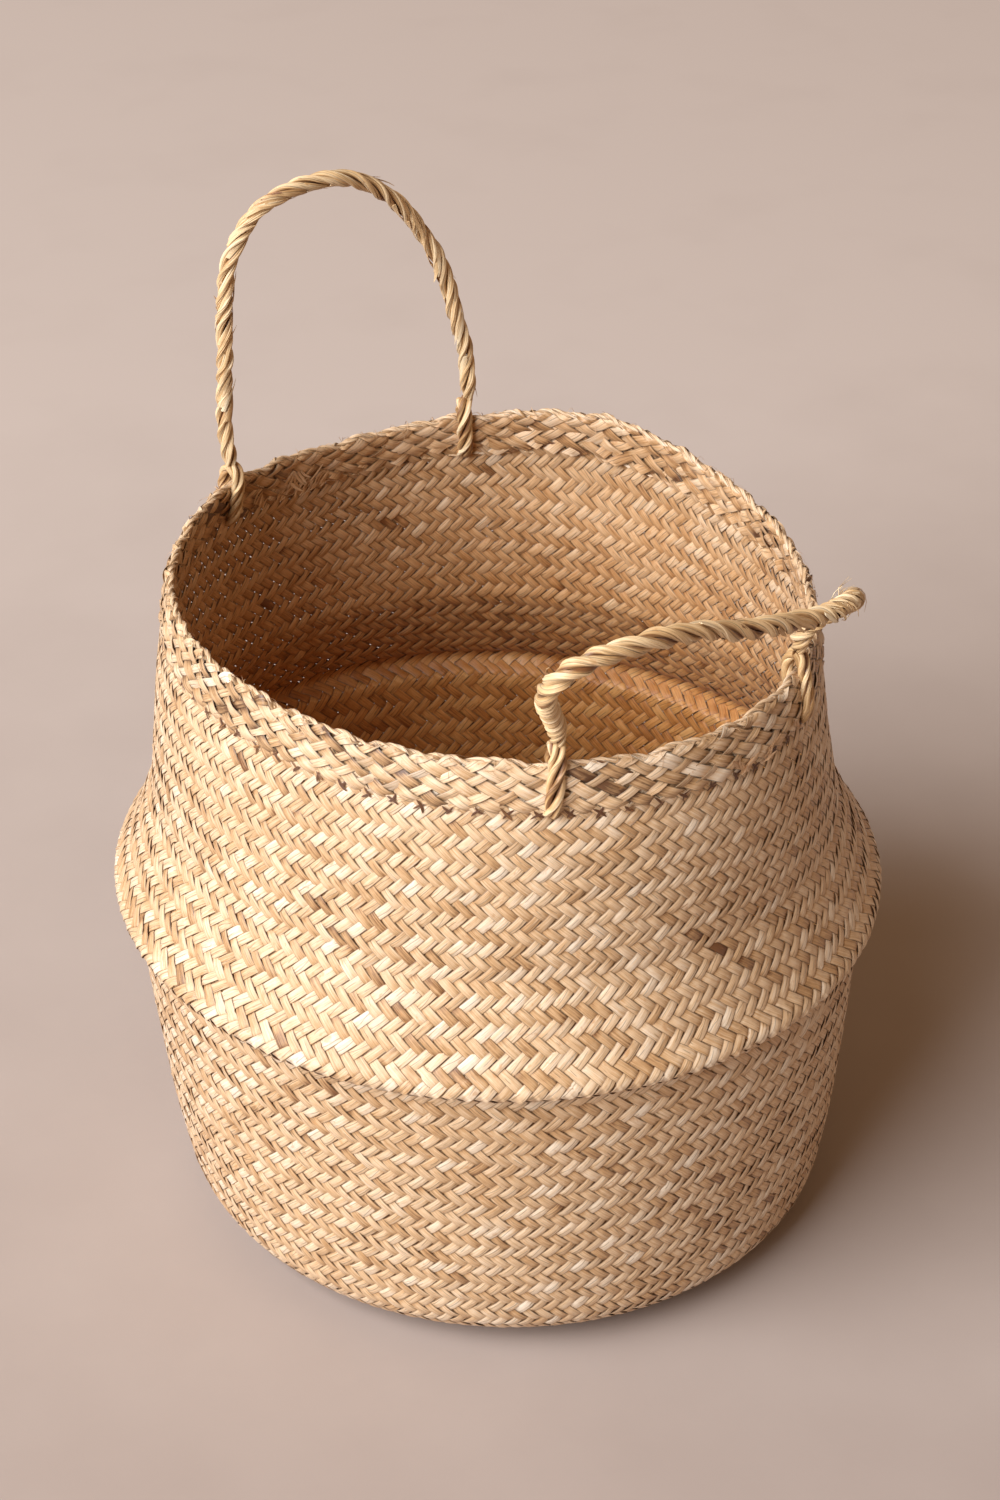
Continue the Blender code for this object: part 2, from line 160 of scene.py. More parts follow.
@dataclass(frozen=True)
class HandShape:
    """How the hand-made basket departs from a true round: a lean, an oval mouth and soft lobes."""

    rim_height: float = 0.3619
    belly_height: float = 0.1911
    lean: float = 0.0137
    lean_angle: float = math.radians(148)
    oval: float = 0.0086
    oval_angle: float = math.radians(85)
    lobe: float = 0.0039
    lobe_angle: float = math.radians(42)
    wave_foot: float = 0.2900
    waves: tuple = (
        (38.0, 17.0, 0.0065),
        (24.0, 34.0, 0.0045),
        (86.0, 13.0, -0.0035),
        (118.0, 10.0, 0.0025),
        (216.0, 16.0, -0.0020),
    )
    bulges: tuple = ((-12.0, 34.0, 0.0065),)

    def wave(self, theta: np.ndarray, height: np.ndarray, swells: tuple) -> np.ndarray:
        """How far the uneven rim departs from an even one, upwards or outwards.

        Args:
            theta: The angles round the basket.
            height: The heights on a level basket.
            swells: The middle and half width in degrees and the reach in metres of each swell.

        Returns:
            The departure in metres, which fades out down the collar.
        """
        degrees = np.degrees(theta)
        reach = sum(far * np.exp(-((((degrees - angle + 180) % 360 - 180) / width) ** 2)) for angle, width, far in swells)
        share = np.clip((height - self.wave_foot) / (self.rim_height - self.wave_foot), 0, 1)
        return reach * share * share * (3 - 2 * share)

    def place(self, theta: np.ndarray, radius: np.ndarray, height: np.ndarray) -> np.ndarray:
        """Points of the basket, given on a true round.

        Args:
            theta: The angles round the basket.
            radius: The radii.
            height: The heights.

        Returns:
            The points, in the row frame, in metres.
        """
        share = np.clip((height - self.belly_height) / (self.rim_height - self.belly_height), 0, 1)
        ease = share * share * (3 - 2 * share)
        oval = self.oval * np.cos(2 * (theta - self.oval_angle))
        lobes = self.lobe * np.cos(3 * (theta - self.lobe_angle))
        lean = self.lean * np.minimum(height / self.rim_height, 1)
        reach = radius + ease * (oval + lobes) + self.wave(theta, height, self.bulges)
        x = reach * np.cos(theta) + lean * math.cos(self.lean_angle)
        y = reach * np.sin(theta) + lean * math.sin(self.lean_angle)
        level = height + self.wave(theta, height, self.waves)
        return np.stack([x, y, np.broadcast_to(level, x.shape)], -1)


class SheetLine:
    """The section of a plaited sheet: its line from the bottom up, measured along its length."""

    def __init__(self, points: list, inset: float) -> None:
        """Measures a line and its outward side.

        Args:
            points: Radius and height of each point of the outer side.
            inset: How far inside that side the line lies.
        """
        line = np.array(points, float)
        step = np.gradient(line, axis=0)
        step /= np.linalg.norm(step, axis=1, keepdims=True)
        self.out = np.stack([step[:, 1], -step[:, 0]], -1)
        self.line = line - self.out * inset
        lengths = np.linalg.norm(np.diff(self.line, axis=0), axis=1)
        self.length = np.concatenate([[0], np.cumsum(lengths)])
        middles = (self.line[1:, 0] + self.line[:-1, 0]) / 2
        self.turn = np.concatenate([[0], np.cumsum(lengths / np.maximum(middles, 0.02))])

    def at(self, length: np.ndarray, lift: np.ndarray, theta: np.ndarray, shape: HandShape) -> np.ndarray:
        """Points on the sheet.

        Args:
            length: How far along the line.
            lift: How far outwards from it.
            theta: The angles round the basket.
            shape: The hand-made shape.

        Returns:
            The points, in the row frame.
        """
        radius = np.interp(length, self.length, self.line[:, 0]) + lift * np.interp(length, self.length, self.out[:, 0])
        height = np.interp(length, self.length, self.line[:, 1]) + lift * np.interp(length, self.length, self.out[:, 1])
        return shape.place(theta, radius, height)


def wall_outline() -> list:
    """Returns the outer side of the whole sheet, from the middle of the floor to the rim."""
    belly_pull = tuple(2 * m - (s + e) / 2 for s, m, e in zip(CREASE, BELLY, FOLD_TOP))
    floor = [(FLOOR_EDGE[0] * share / 10, 0.0) for share in range(10)]
    heel = round_turn(FLOOR_EDGE, HEEL_CORNER, HEEL_TOP, 16)
    bowl = curve_through([HEEL_TOP, BOWL_MIDDLE, CREASE], 12)
    fold = round_turn(CREASE, belly_pull, FOLD_TOP, 12)
    slope = curve_through([FOLD_TOP, SLOPE, NECK], 8)
    collar = curve_through([NECK, COLLAR_MIDDLE, THROAT, RIM], 8)
    return floor + heel + bowl[1:] + fold[1:] + slope[1:] + collar[1:]


@dataclass
class StripMesh:
    """The points, faces and surface values of many strips, gathered into one piece."""

    points: np.ndarray
    along: np.ndarray
    across: np.ndarray
    tone: np.ndarray
    seed: np.ndarray
    # Marks for the material: which face gets painted sheen, and how much painted inside shade each point takes
    face: np.ndarray
    inside: np.ndarray

    def make(self, name: str) -> bpy.types.Object:
        """Makes the piece: one closed ribbon or tube for each strip, with a UV map along and across.

        Args:
            name: The piece's name.

        Returns:
            The new object, at the origin.
        """
        strips, rings, sides = self.points.shape[:3]
        index = np.arange(strips * rings * sides).reshape(strips, rings, sides)
        here, there = index[:, :-1], index[:, 1:]
        quads = np.stack([here, np.roll(here, -1, 2), np.roll(there, -1, 2), there], -1).reshape(-1, 4)
        caps = np.concatenate([index[:, 0, ::-1], index[:, -1]])
        if self._inside_out():
            quads, caps = quads[:, ::-1], caps[:, ::-1]
        mesh = bpy.data.meshes.new(name)
        mesh.vertices.add(index.size)
        mesh.vertices.foreach_set("co", self.points.reshape(-1).astype(np.float32))
        loops = np.concatenate([quads.reshape(-1), caps.reshape(-1)]).astype(np.int32)
        mesh.loops.add(loops.size)
        mesh.loops.foreach_set("vertex_index", loops)
        totals = np.concatenate([np.full(len(quads), 4), np.full(len(caps), sides)])
        mesh.polygons.add(totals.size)
        mesh.polygons.foreach_set("loop_start", (np.cumsum(totals) - totals).astype(np.int32))
        mesh.polygons.foreach_set("loop_total", totals.astype(np.int32))
        mesh.update(calc_edges=True)
        mesh.validate()
        uv = np.stack([self.along.reshape(-1)[loops], self.across.reshape(-1)[loops]], -1)
        mesh.uv_layers.new(name="strip_map").data.foreach_set("uv", uv.reshape(-1).astype(np.float32))
        stored = (self.tone, self.seed, self.face, self.inside)
        for label, values in zip(("strip_tone", "strip_seed", "strip_face", "strip_inside_shade"), stored):
            layer = mesh.attributes.new(label, "FLOAT", "POINT")
            layer.data.foreach_set("value", values.reshape(-1).astype(np.float32))
        mesh.shade_smooth()
        mesh.set_sharp_from_angle(angle=math.radians(48))
        piece = bpy.data.objects.new(name, mesh)
        bpy.context.scene.collection.objects.link(piece)
        return piece

    def _inside_out(self) -> bool:
        """Whether the first strip's faces would point inwards."""
        body = self.points[0]
        middle = body.mean(1, keepdims=True)
        a = body[:-1] - middle[:-1]
        b = np.roll(body[:-1], -1, 1) - middle[:-1]
        onward = (middle[1:] - middle[:-1])[:, 0]
        turn = np.cross(a, b).sum(1)
        return bool(np.einsum("ij,ij->i", turn, onward).sum() > 0)


@dataclass(frozen=True)
class Weave:
    """How a sheet is plaited: how many strips, their rhythm, and how each strip lies."""

    count: int
    rhythm: tuple
    lift: float
    thickness: float
    right_share: float
    left_share: float
    squash: float = 1.0
    steps: int = 2
    wobble: float = 0.05
    tilt: float = 0.00013
    tone_spread: float = 0.13
    stain: float = 0.36

    def lifts(self, rows: np.ndarray, lean: Lean) -> np.ndarray:
        """How far a strip's middle stands outwards at each row.

        Args:
            rows: The rows, whole at each crossing.
            lean: Which way the strip leans.

        Returns:
            The lift in metres.
        """
        beats = np.array(self.rhythm) * 2 - 1
        low = np.floor(rows).astype(int)
        share = rows - low
        here = beats[low % len(beats)]
        there = beats[(low + 1) % len(beats)]
        ease = share * share * (3 - 2 * share)
        level = np.where(here == there, here * (1 + 0.15 * np.sin(math.pi * share)), here * (1 - ease) + there * ease)
        return level * self.lift * lean.value

    def share(self, lean: Lean) -> float:
        """The share of its room that a strip fills."""
        return self.right_share if lean is Lean.RIGHT else self.left_share

    def tones(self, seed: int, strips: int, rows: np.ndarray) -> np.ndarray:
        """The shade of each strip along its length, with a few darker stretches.

        Args:
            seed: The seed.
            strips: How many strips.
            rows: The rows that each strip has points on.

        Returns:
            Values about 0.5, one for each strip and row.
        """
        rng = np.random.default_rng(seed)
        whole = rng.normal(0.5, self.tone_spread, (strips, 1))
        floats = rng.normal(0, 0.045, (strips, int(rows.max() / 2) + 3))
        index = np.clip(((rows + 0.5) / 2).astype(int), 0, floats.shape[1] - 1)
        slow = smooth_noise(seed + 1, (strips, len(rows)), 18) * 0.08
        stain = smooth_noise(seed + 2, (strips, len(rows)), 14)
        stained = np.clip((stain - 0.91) * 9, 0, 1) * self.stain
        return whole + floats[:, index] + slow - stained


SECTION = ((-1.0, 0.0), (-0.86, 1.0), (0.86, 1.0), (1.0, 0.0), (0.86, -1.0), (-0.86, -1.0))
SECTION_SIDE = np.array([point[0] for point in SECTION])
SECTION_HEIGHT = np.array([point[1] for point in SECTION])


def shade_dips(tone: np.ndarray, level: np.ndarray, depth: float) -> np.ndarray:
    """Shades each face of a strip where it dives under the strips that cross it.

    Args:
        tone: The strips' tones, one for each strip and row.
        level: How high the strip stands at each row, from -1 to 1.
        depth: How much darker a covered stretch is.

    Returns:
        The tones of each point of each section.
    """
    cover = np.clip(0.4 - level[..., None] * SECTION_HEIGHT, 0, 1) * np.abs(SECTION_HEIGHT)
    return tone[..., None] - depth * cover


def ribbon_sections(weave: Weave, lean: Lean, seed: int, strips: int, rows: np.ndarray) -> tuple:
    """The sideways place and the lift of each point of each strip's section.

    Args:
        weave: How the sheet is plaited.
        lean: Which way the strips lean.
        seed: The seed for their unevenness.
        strips: How many strips.
        rows: The rows with points.

    Returns:
        Sideways places in rows, lifts in metres and values across the strip, each of shape
        (strips, rows, 6).
    """
    rng = np.random.default_rng(seed)
    width = weave.share(lean) * (1 + rng.normal(0, 0.035, (strips, 1)))
    thin = np.where(smooth_noise(seed + 6, (strips, len(rows)), 4) > 0.9, 0.82, 1.0)
    width = width * thin * (1 + 0.05 * smooth_noise(seed + 3, (strips, len(rows)), 5))
    drift = weave.wobble * smooth_noise(seed + 4, (strips, len(rows)), 7)
    tilt = weave.tilt * (smooth_noise(seed + 5, (strips, len(rows)), 4) + rng.normal(0, 0.5, (strips, 1)))
    side = SECTION_SIDE
    crown = SECTION_HEIGHT * weave.thickness / 2
    sideways = drift[..., None] + width[..., None] / 2 * side
    lift = weave.lifts(rows, lean)[None, :, None] + crown + tilt[..., None] * side * 2
    across = np.broadcast_to(side, sideways.shape)
    return sideways, lift, across


@dataclass(frozen=True)
class StrawFinish:
    """Dried seagrass: a flat blade with fine lengthwise fibres, each strip of its own shade."""

    name: str
    dark: tuple
    deep: tuple
    middle: tuple
    pale: tuple
    rust: tuple = (0.50, 0.235, 0.075)
    roughness: float = 0.46
    fibre: float = 0.42
    # How much lighter the painted sheen makes the marked face of each strip
    face: float = 0.075
    # How dark each strip's edges are painted: painted shade like that in the narrow gaps between strips
    edge: float = 0.36
    split: float = 0.45
    # Painted shade: the colour that the basket's inner faces are multiplied by, so that its inside looks shaded
    inside: tuple = (0.80, 0.52, 0.24)
    relief: float = 0.00020

    def make(self) -> bpy.types.Material:
        """Returns the material, which reads the piece's strip map and its three strip values."""
        material = bpy.data.materials.new(self.name)
        material.use_nodes = True
        tree = material.node_tree
        links = tree.links
        shader = tree.nodes["Principled BSDF"]
        tone, seed, face = (self._value(tree, label) for label in ("strip_tone", "strip_seed", "strip_face"))
        uv = tree.nodes.new("ShaderNodeUVMap")
        uv.uv_map = "strip_map"
        place = tree.nodes.new("ShaderNodeSeparateXYZ")
        links.new(uv.outputs[0], place.inputs[0])
        fibres = self._streaks(tree, place, seed, (55.0, 3.4, 61.0), 4.0)
        hairs = self._streaks(tree, place, seed, (80.0, 9.0, 23.0), 2.0)
        patches = self._streaks(tree, place, seed, (140.0, 0.6, 37.0), 3.0)
        drift = self._streaks(tree, place, seed, (38.0, 0.0, 71.0), 1.0)
        gate = self._streaks(tree, place, seed, (70.0, 0.0, 89.0), 1.0)
        shade = self._blend(tree, tone, fibres, self.fibre)
        shade = self._blend(tree, shade, patches, 0.18)
        # Painted sheen: faces marked towards 1 are lighter, as where the fibres catch the lamp; on the ropes each
        # blade's mark is random
        shade = self._blend(tree, shade, face, self.face)
        colour = self._ramp(tree, shade)
        rusty = self._range(tree, patches, (0.60, 0.72, 0.0, 0.55))
        colour = self._tint(tree, "MIX", rusty, colour, self.rust)
        # Painted shade on the inner faces, as much of it as each point's stored share
        colour = self._tint(tree, "MULTIPLY", self._value(tree, "strip_inside_shade"), colour, self.inside)
        across = self._maths(tree, "ABSOLUTE", place.outputs[1])
        # Painted shade along each strip's edges, times the fine dark lines of the fibres and the split lines, which are
        # the straw's own
        edge_shade_and_grain = self._maths(
            tree,
            "MULTIPLY",
            self._range(tree, across, (0.82, 0.98, 1.0, self.edge)),
            self._range(tree, hairs, (0.30, 0.44, 0.66, 1.0)),
        )
        edge_shade_and_grain = self._maths(tree, "MULTIPLY", edge_shade_and_grain, self._splits(tree, place, drift, gate, face))
        dark = self._tint(tree, "MULTIPLY", 1.0, colour, edge_shade_and_grain)
        links.new(dark, shader.inputs["Base Color"])
        rough = self._range(tree, fibres, (0.3, 0.7, self.roughness - 0.10, self.roughness + 0.14))
        links.new(rough, shader.inputs["Roughness"])
        bump = tree.nodes.new("ShaderNodeBump")
        bump.inputs["Strength"].default_value = 0.8
        bump.inputs["Distance"].default_value = self.relief
        crown = self._maths(tree, "MULTIPLY", self._maths(tree, "MULTIPLY", across, across), 0.45)
        ridges = self._blend(tree, fibres, hairs, 0.5)
        links.new(self._maths(tree, "SUBTRACT", ridges, crown), bump.inputs["Height"])
        links.new(bump.outputs[0], shader.inputs["Normal"])
        shader.inputs["Specular IOR Level"].default_value = 0.58
        shader.inputs["Sheen Weight"].default_value = 0.05
        return material

    @staticmethod
    def _value(tree: bpy.types.NodeTree, label: str) -> bpy.types.NodeSocket:
        """The output of a value stored on the piece's points."""
        stored = tree.nodes.new("ShaderNodeAttribute")
        stored.attribute_name = label
        return stored.outputs["Fac"]

    @staticmethod
    def _maths(tree: bpy.types.NodeTree, operation: str, *values: object) -> bpy.types.NodeSocket:
        """The output of a sum: each value is a socket or a number."""
        node = tree.nodes.new("ShaderNodeMath")
        node.operation = operation
        for socket, value in zip(node.inputs, values):
            if isinstance(value, bpy.types.NodeSocket):
                tree.links.new(value, socket)
            else:
                socket.default_value = value
        return node.outputs[0]

    @staticmethod
    def _range(tree: bpy.types.NodeTree, value: bpy.types.NodeSocket, limits: tuple) -> bpy.types.NodeSocket:
        """A value carried smoothly from one range to another.

        Args:
            tree: The material's node tree.
            value: The value's output.
            limits: From low, from high, to low and to high.

        Returns:
            The new value's output.
        """
        node = tree.nodes.new("ShaderNodeMapRange")
        node.interpolation_type = "SMOOTHSTEP"
        tree.links.new(value, node.inputs[0])
        for socket, limit in zip(node.inputs[1:5], limits):
            socket.default_value = limit
        return node.outputs[0]

    @staticmethod
    def _tint(tree: bpy.types.NodeTree, kind: str, share: object, colour: bpy.types.NodeSocket, other: object) -> bpy.types.NodeSocket:
        """A colour mixed with another, or multiplied by it.

        Args:
            tree: The material's node tree.
            kind: The way of mixing.
            share: How much of it, as an output or a number.
            colour: The first colour's output.
            other: The other colour or value.

        Returns:
            The new colour's output.
        """
        node = tree.nodes.new("ShaderNodeMix")
        node.data_type = "RGBA"
        node.blend_type = kind
        tree.links.new(colour, node.inputs[6])
        for value, socket in ((share, node.inputs[0]), (other, node.inputs[7])):
            if isinstance(value, bpy.types.NodeSocket):
                tree.links.new(value, socket)
            else:
                socket.default_value = (*value, 1) if isinstance(value, tuple) else value
        return node.outputs[2]

    def _ramp(self, tree: bpy.types.NodeTree, shade: bpy.types.NodeSocket) -> bpy.types.NodeSocket:
        """The straw's colour for each shade, from stained to sun-whitened."""
        ramp = tree.nodes.new("ShaderNodeValToRGB")
        stops = ramp.color_ramp.elements
        stops[0].position, stops[0].color = 0.05, (*self.dark, 1)
        stops[1].position, stops[1].color = 0.90, (*self.pale, 1)
        for place, colour in ((0.30, self.deep), (0.55, self.middle)):
            stops.new(place).color = (*colour, 1)
        tree.links.new(shade, ramp.inputs[0])
        return ramp.outputs[0]

    def _streaks(
        self, tree: bpy.types.NodeTree, place: bpy.types.Node, seed: bpy.types.NodeSocket, scales: tuple, detail: float
    ) -> bpy.types.NodeSocket:
        """Noise drawn out along the strip.

        Args:
            tree: The material's node tree.
            place: The node that gives the strip map's two values.
            seed: The strip's own number.
            scales: Changes for each metre, changes over half the width, and the seed's reach.
            detail: The noise's detail.

        Returns:
            The noise's output.
        """
        spots = tree.nodes.new("ShaderNodeCombineXYZ")
        for axis, (source, scale) in enumerate(zip((*place.outputs[:2], seed), scales)):
            tree.links.new(self._maths(tree, "MULTIPLY", source, scale), spots.inputs[axis])
        noise = tree.nodes.new("ShaderNodeTexNoise")
        noise.inputs["Scale"].default_value = 1.0
        noise.inputs["Detail"].default_value = detail
        noise.inputs["Roughness"].default_value = 0.6
        tree.links.new(spots.outputs[0], noise.inputs["Vector"])
        return noise.outputs["Fac"]

    def _blend(
        self, tree: bpy.types.NodeTree, base: bpy.types.NodeSocket, noise: bpy.types.NodeSocket, reach: float
    ) -> bpy.types.NodeSocket:
        """A value with noise added to both sides of it: base + 2 * reach * (noise - 0.5)."""
        centred = self._maths(tree, "MULTIPLY_ADD", noise, reach * 2, -reach)
        return self._maths(tree, "ADD", base, centred)

    def _splits(
        self,
        tree: bpy.types.NodeTree,
        place: bpy.types.Node,
        drift: bpy.types.NodeSocket,
        gate: bpy.types.NodeSocket,
        face: bpy.types.NodeSocket,
    ) -> bpy.types.NodeSocket:
        """Dark lines where a blade has split lengthwise, more of them on the face with painted sheen.

        Args:
            tree: The material's node tree.
            place: The node that gives the strip map's two values.
            drift: Where across the blade the line runs.
            gate: Where along the blade it shows.
            face: Which face shows, 1 on the face with painted sheen.

        Returns:
            A value of 1 that falls on the lines.
        """
        middle = self._maths(tree, "MULTIPLY_ADD", drift, 3.2, -1.6)
        gap = self._maths(tree, "ABSOLUTE", self._maths(tree, "SUBTRACT", place.outputs[1], middle))
        line = self._range(tree, gap, (0.03, 0.13, 1.0, 0.0))
        open_share = self._blend(tree, gate, face, 0.07)
        shown = self._range(tree, open_share, (0.50, 0.56, 0.0, self.split))
        return self._maths(tree, "SUBTRACT", 1.0, self._maths(tree, "MULTIPLY", line, shown))


WALL_FINISH = StrawFinish("wall_seagrass", (0.18, 0.07, 0.02), (0.52, 0.30, 0.135), (0.705, 0.490, 0.292), (0.85, 0.725, 0.57))
BORDER_FINISH = StrawFinish(
    "border_seagrass", (0.12, 0.05, 0.018), (0.49, 0.285, 0.13), (0.69, 0.475, 0.28), (0.83, 0.68, 0.51), fibre=0.46
)
BASE_FINISH = StrawFinish("base_seagrass", (0.15, 0.06, 0.02), (0.50, 0.27, 0.095), (0.68, 0.43, 0.19), (0.82, 0.62, 0.37))
ROPE_FINISH = StrawFinish(
    "rope_seagrass", (0.20, 0.08, 0.025), (0.52, 0.305, 0.125), (0.74, 0.505, 0.26), (0.88, 0.72, 0.48), edge=0.50, split=0.5
)


def dress(piece: bpy.types.Object, material: bpy.types.Material, slot: Slot) -> None:
    """Gives a piece its material and logs its slot.

    Args:
        piece: The piece.
        material: Its material.
        slot: The slot, whose name is logged.
    """
    piece.data.materials.append(material)
    LOG.info("%s: %d faces, %s", piece.name, len(piece.data.polygons), slot.value)


@dataclass
class PlaitedWall:
    """The wall from the edge of the floor mat to the rim, in two crossing sets of strips."""

    shape: HandShape
    line: SheetLine
    weave: Weave = Weave(156, (1, 1, 0, 0), 0.00055, 0.00050, 0.965, 0.985, wobble=0.04, tone_spread=0.065)
    start_length: float = 0.150
    bundles: int = 3
    wander: float = 0.0009
    top_margin: float = 0.004
    turn_steps: int = 6
    # Share of the painted inside shade that is taken away at the rim; below the crease none is taken away
    inside_shade_fade: float = 0.80
    fold_start: tuple = (0.0, 0.0, CREASE[1])
    fold_end: tuple = (0.0, 0.0, NECK[1])

    def build(self, material: bpy.types.Material) -> None:
        """Builds both sets of strips, which run from the bowl round the belly fold to the collar.

        Args:
            material: The strips' material.
        """
        for lean in Lean:
            for bundle in range(self.bundles):
                piece = self._bundle(lean, bundle)
                dress(piece, material, Slot.WALL)
                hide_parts("lower_wall", "belly_fold", "upper_wall")
                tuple(self.fold_start)
                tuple(self.fold_end)
                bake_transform(piece)

    def rows_at(self, length: float) -> float:
        """How many rows of crossings lie below a length along the sheet's line."""
        turn = np.interp([self.start_length, length], self.line.length, self.line.turn)
        return float(turn[1] - turn[0]) * self.weave.count / math.pi

    def _rows(self) -> np.ndarray:
        """Returns the rows that a strip has points on, closer together round the belly's tight turn."""
        last = int(self.rows_at(self.line.length[-1] - self.top_margin))
        lengths = np.interp([CREASE[1], FOLD_TOP[1]], self.line.line[:, 1], self.line.length)
        low, high = (round(self.rows_at(length)) for length in lengths)
        even = np.arange(0, last + 0.01, 1 / self.weave.steps)
        close = np.arange(low - 1, high + 1, 1 / self.turn_steps)
        return np.unique(np.round(np.concatenate([even, close]), 5))

    def _wander(self, length: np.ndarray, lift: np.ndarray, theta: np.ndarray) -> tuple:
        """Lets the rows and columns of the plait wander as hand-laid ones do, but not at its two edges."""
        inner = np.minimum(length - self.start_length, self.line.length[-1] - length) / 0.04
        ease = np.clip(inner, 0, 1)
        rows = np.sin(4 * theta + 21 * length) + 0.7 * np.sin(9 * theta - 33 * length + 1.1) + 0.4 * np.sin(17 * theta + 2)
        columns = np.sin(3 * theta - 40 * length + 0.6) + 0.6 * np.sin(7 * theta + 55 * length)
        return length + ease * self.wander * rows, lift, theta + ease * self.wander * 4 * columns

    def _bundle(self, lean: Lean, bundle: int) -> bpy.types.Object:
        """Makes one bundle of neighbouring strips of one lean."""
        weave = self.weave
        size = weave.count // self.bundles
        seed = 100 * bundle + (7 if lean is Lean.RIGHT else 53)
        first = bundle * size
        rows = self._rows()
        sideways, lift, across = ribbon_sections(weave, lean, seed, size, rows)
        begin = 2 * math.pi * (first + np.arange(size) + 0.5) / weave.count
        step = math.pi / weave.count
        theta = begin[:, None, None] + lean.value * step * (rows[None, :, None] - sideways)
        turn = np.interp(self.start_length, self.line.length, self.line.turn) + step * (rows[None, :, None] + sideways)
        length = np.interp(turn, self.line.turn, self.line.length)
        points = self.line.at(*self._wander(length, lift, theta), self.shape)
        along = np.broadcast_to(length[:, :, :1] * 1.414, length.shape)
        tone = shade_dips(weave.tones(seed, size, rows), weave.lifts(rows, lean)[None] / weave.lift, 0.24)
        own = np.random.default_rng(seed + 9).uniform(0, 1, (size, 1, 1))
        # Painted sheen: the outer face of right-leaning strips and the inner face of left-leaning ones are marked to be
        # painted lighter
        face = np.broadcast_to(0.5 + 0.5 * lean.value * SECTION_HEIGHT, length.shape)
        # Painted shade on the inner faces: whole below the crease, less of it towards the rim
        inside_shade_lift = np.clip((points[..., 2] - CREASE[1]) / (RIM[1] - CREASE[1]), 0, 1) * self.inside_shade_fade
        inside = (0.5 - 0.5 * SECTION_HEIGHT) * (1 - inside_shade_lift)
        mesh = StripMesh(points, along, across, tone, np.broadcast_to(own, length.shape), face, inside)
        return mesh.make(f"wall_strips_{lean.name.lower()}_{bundle + 1}")


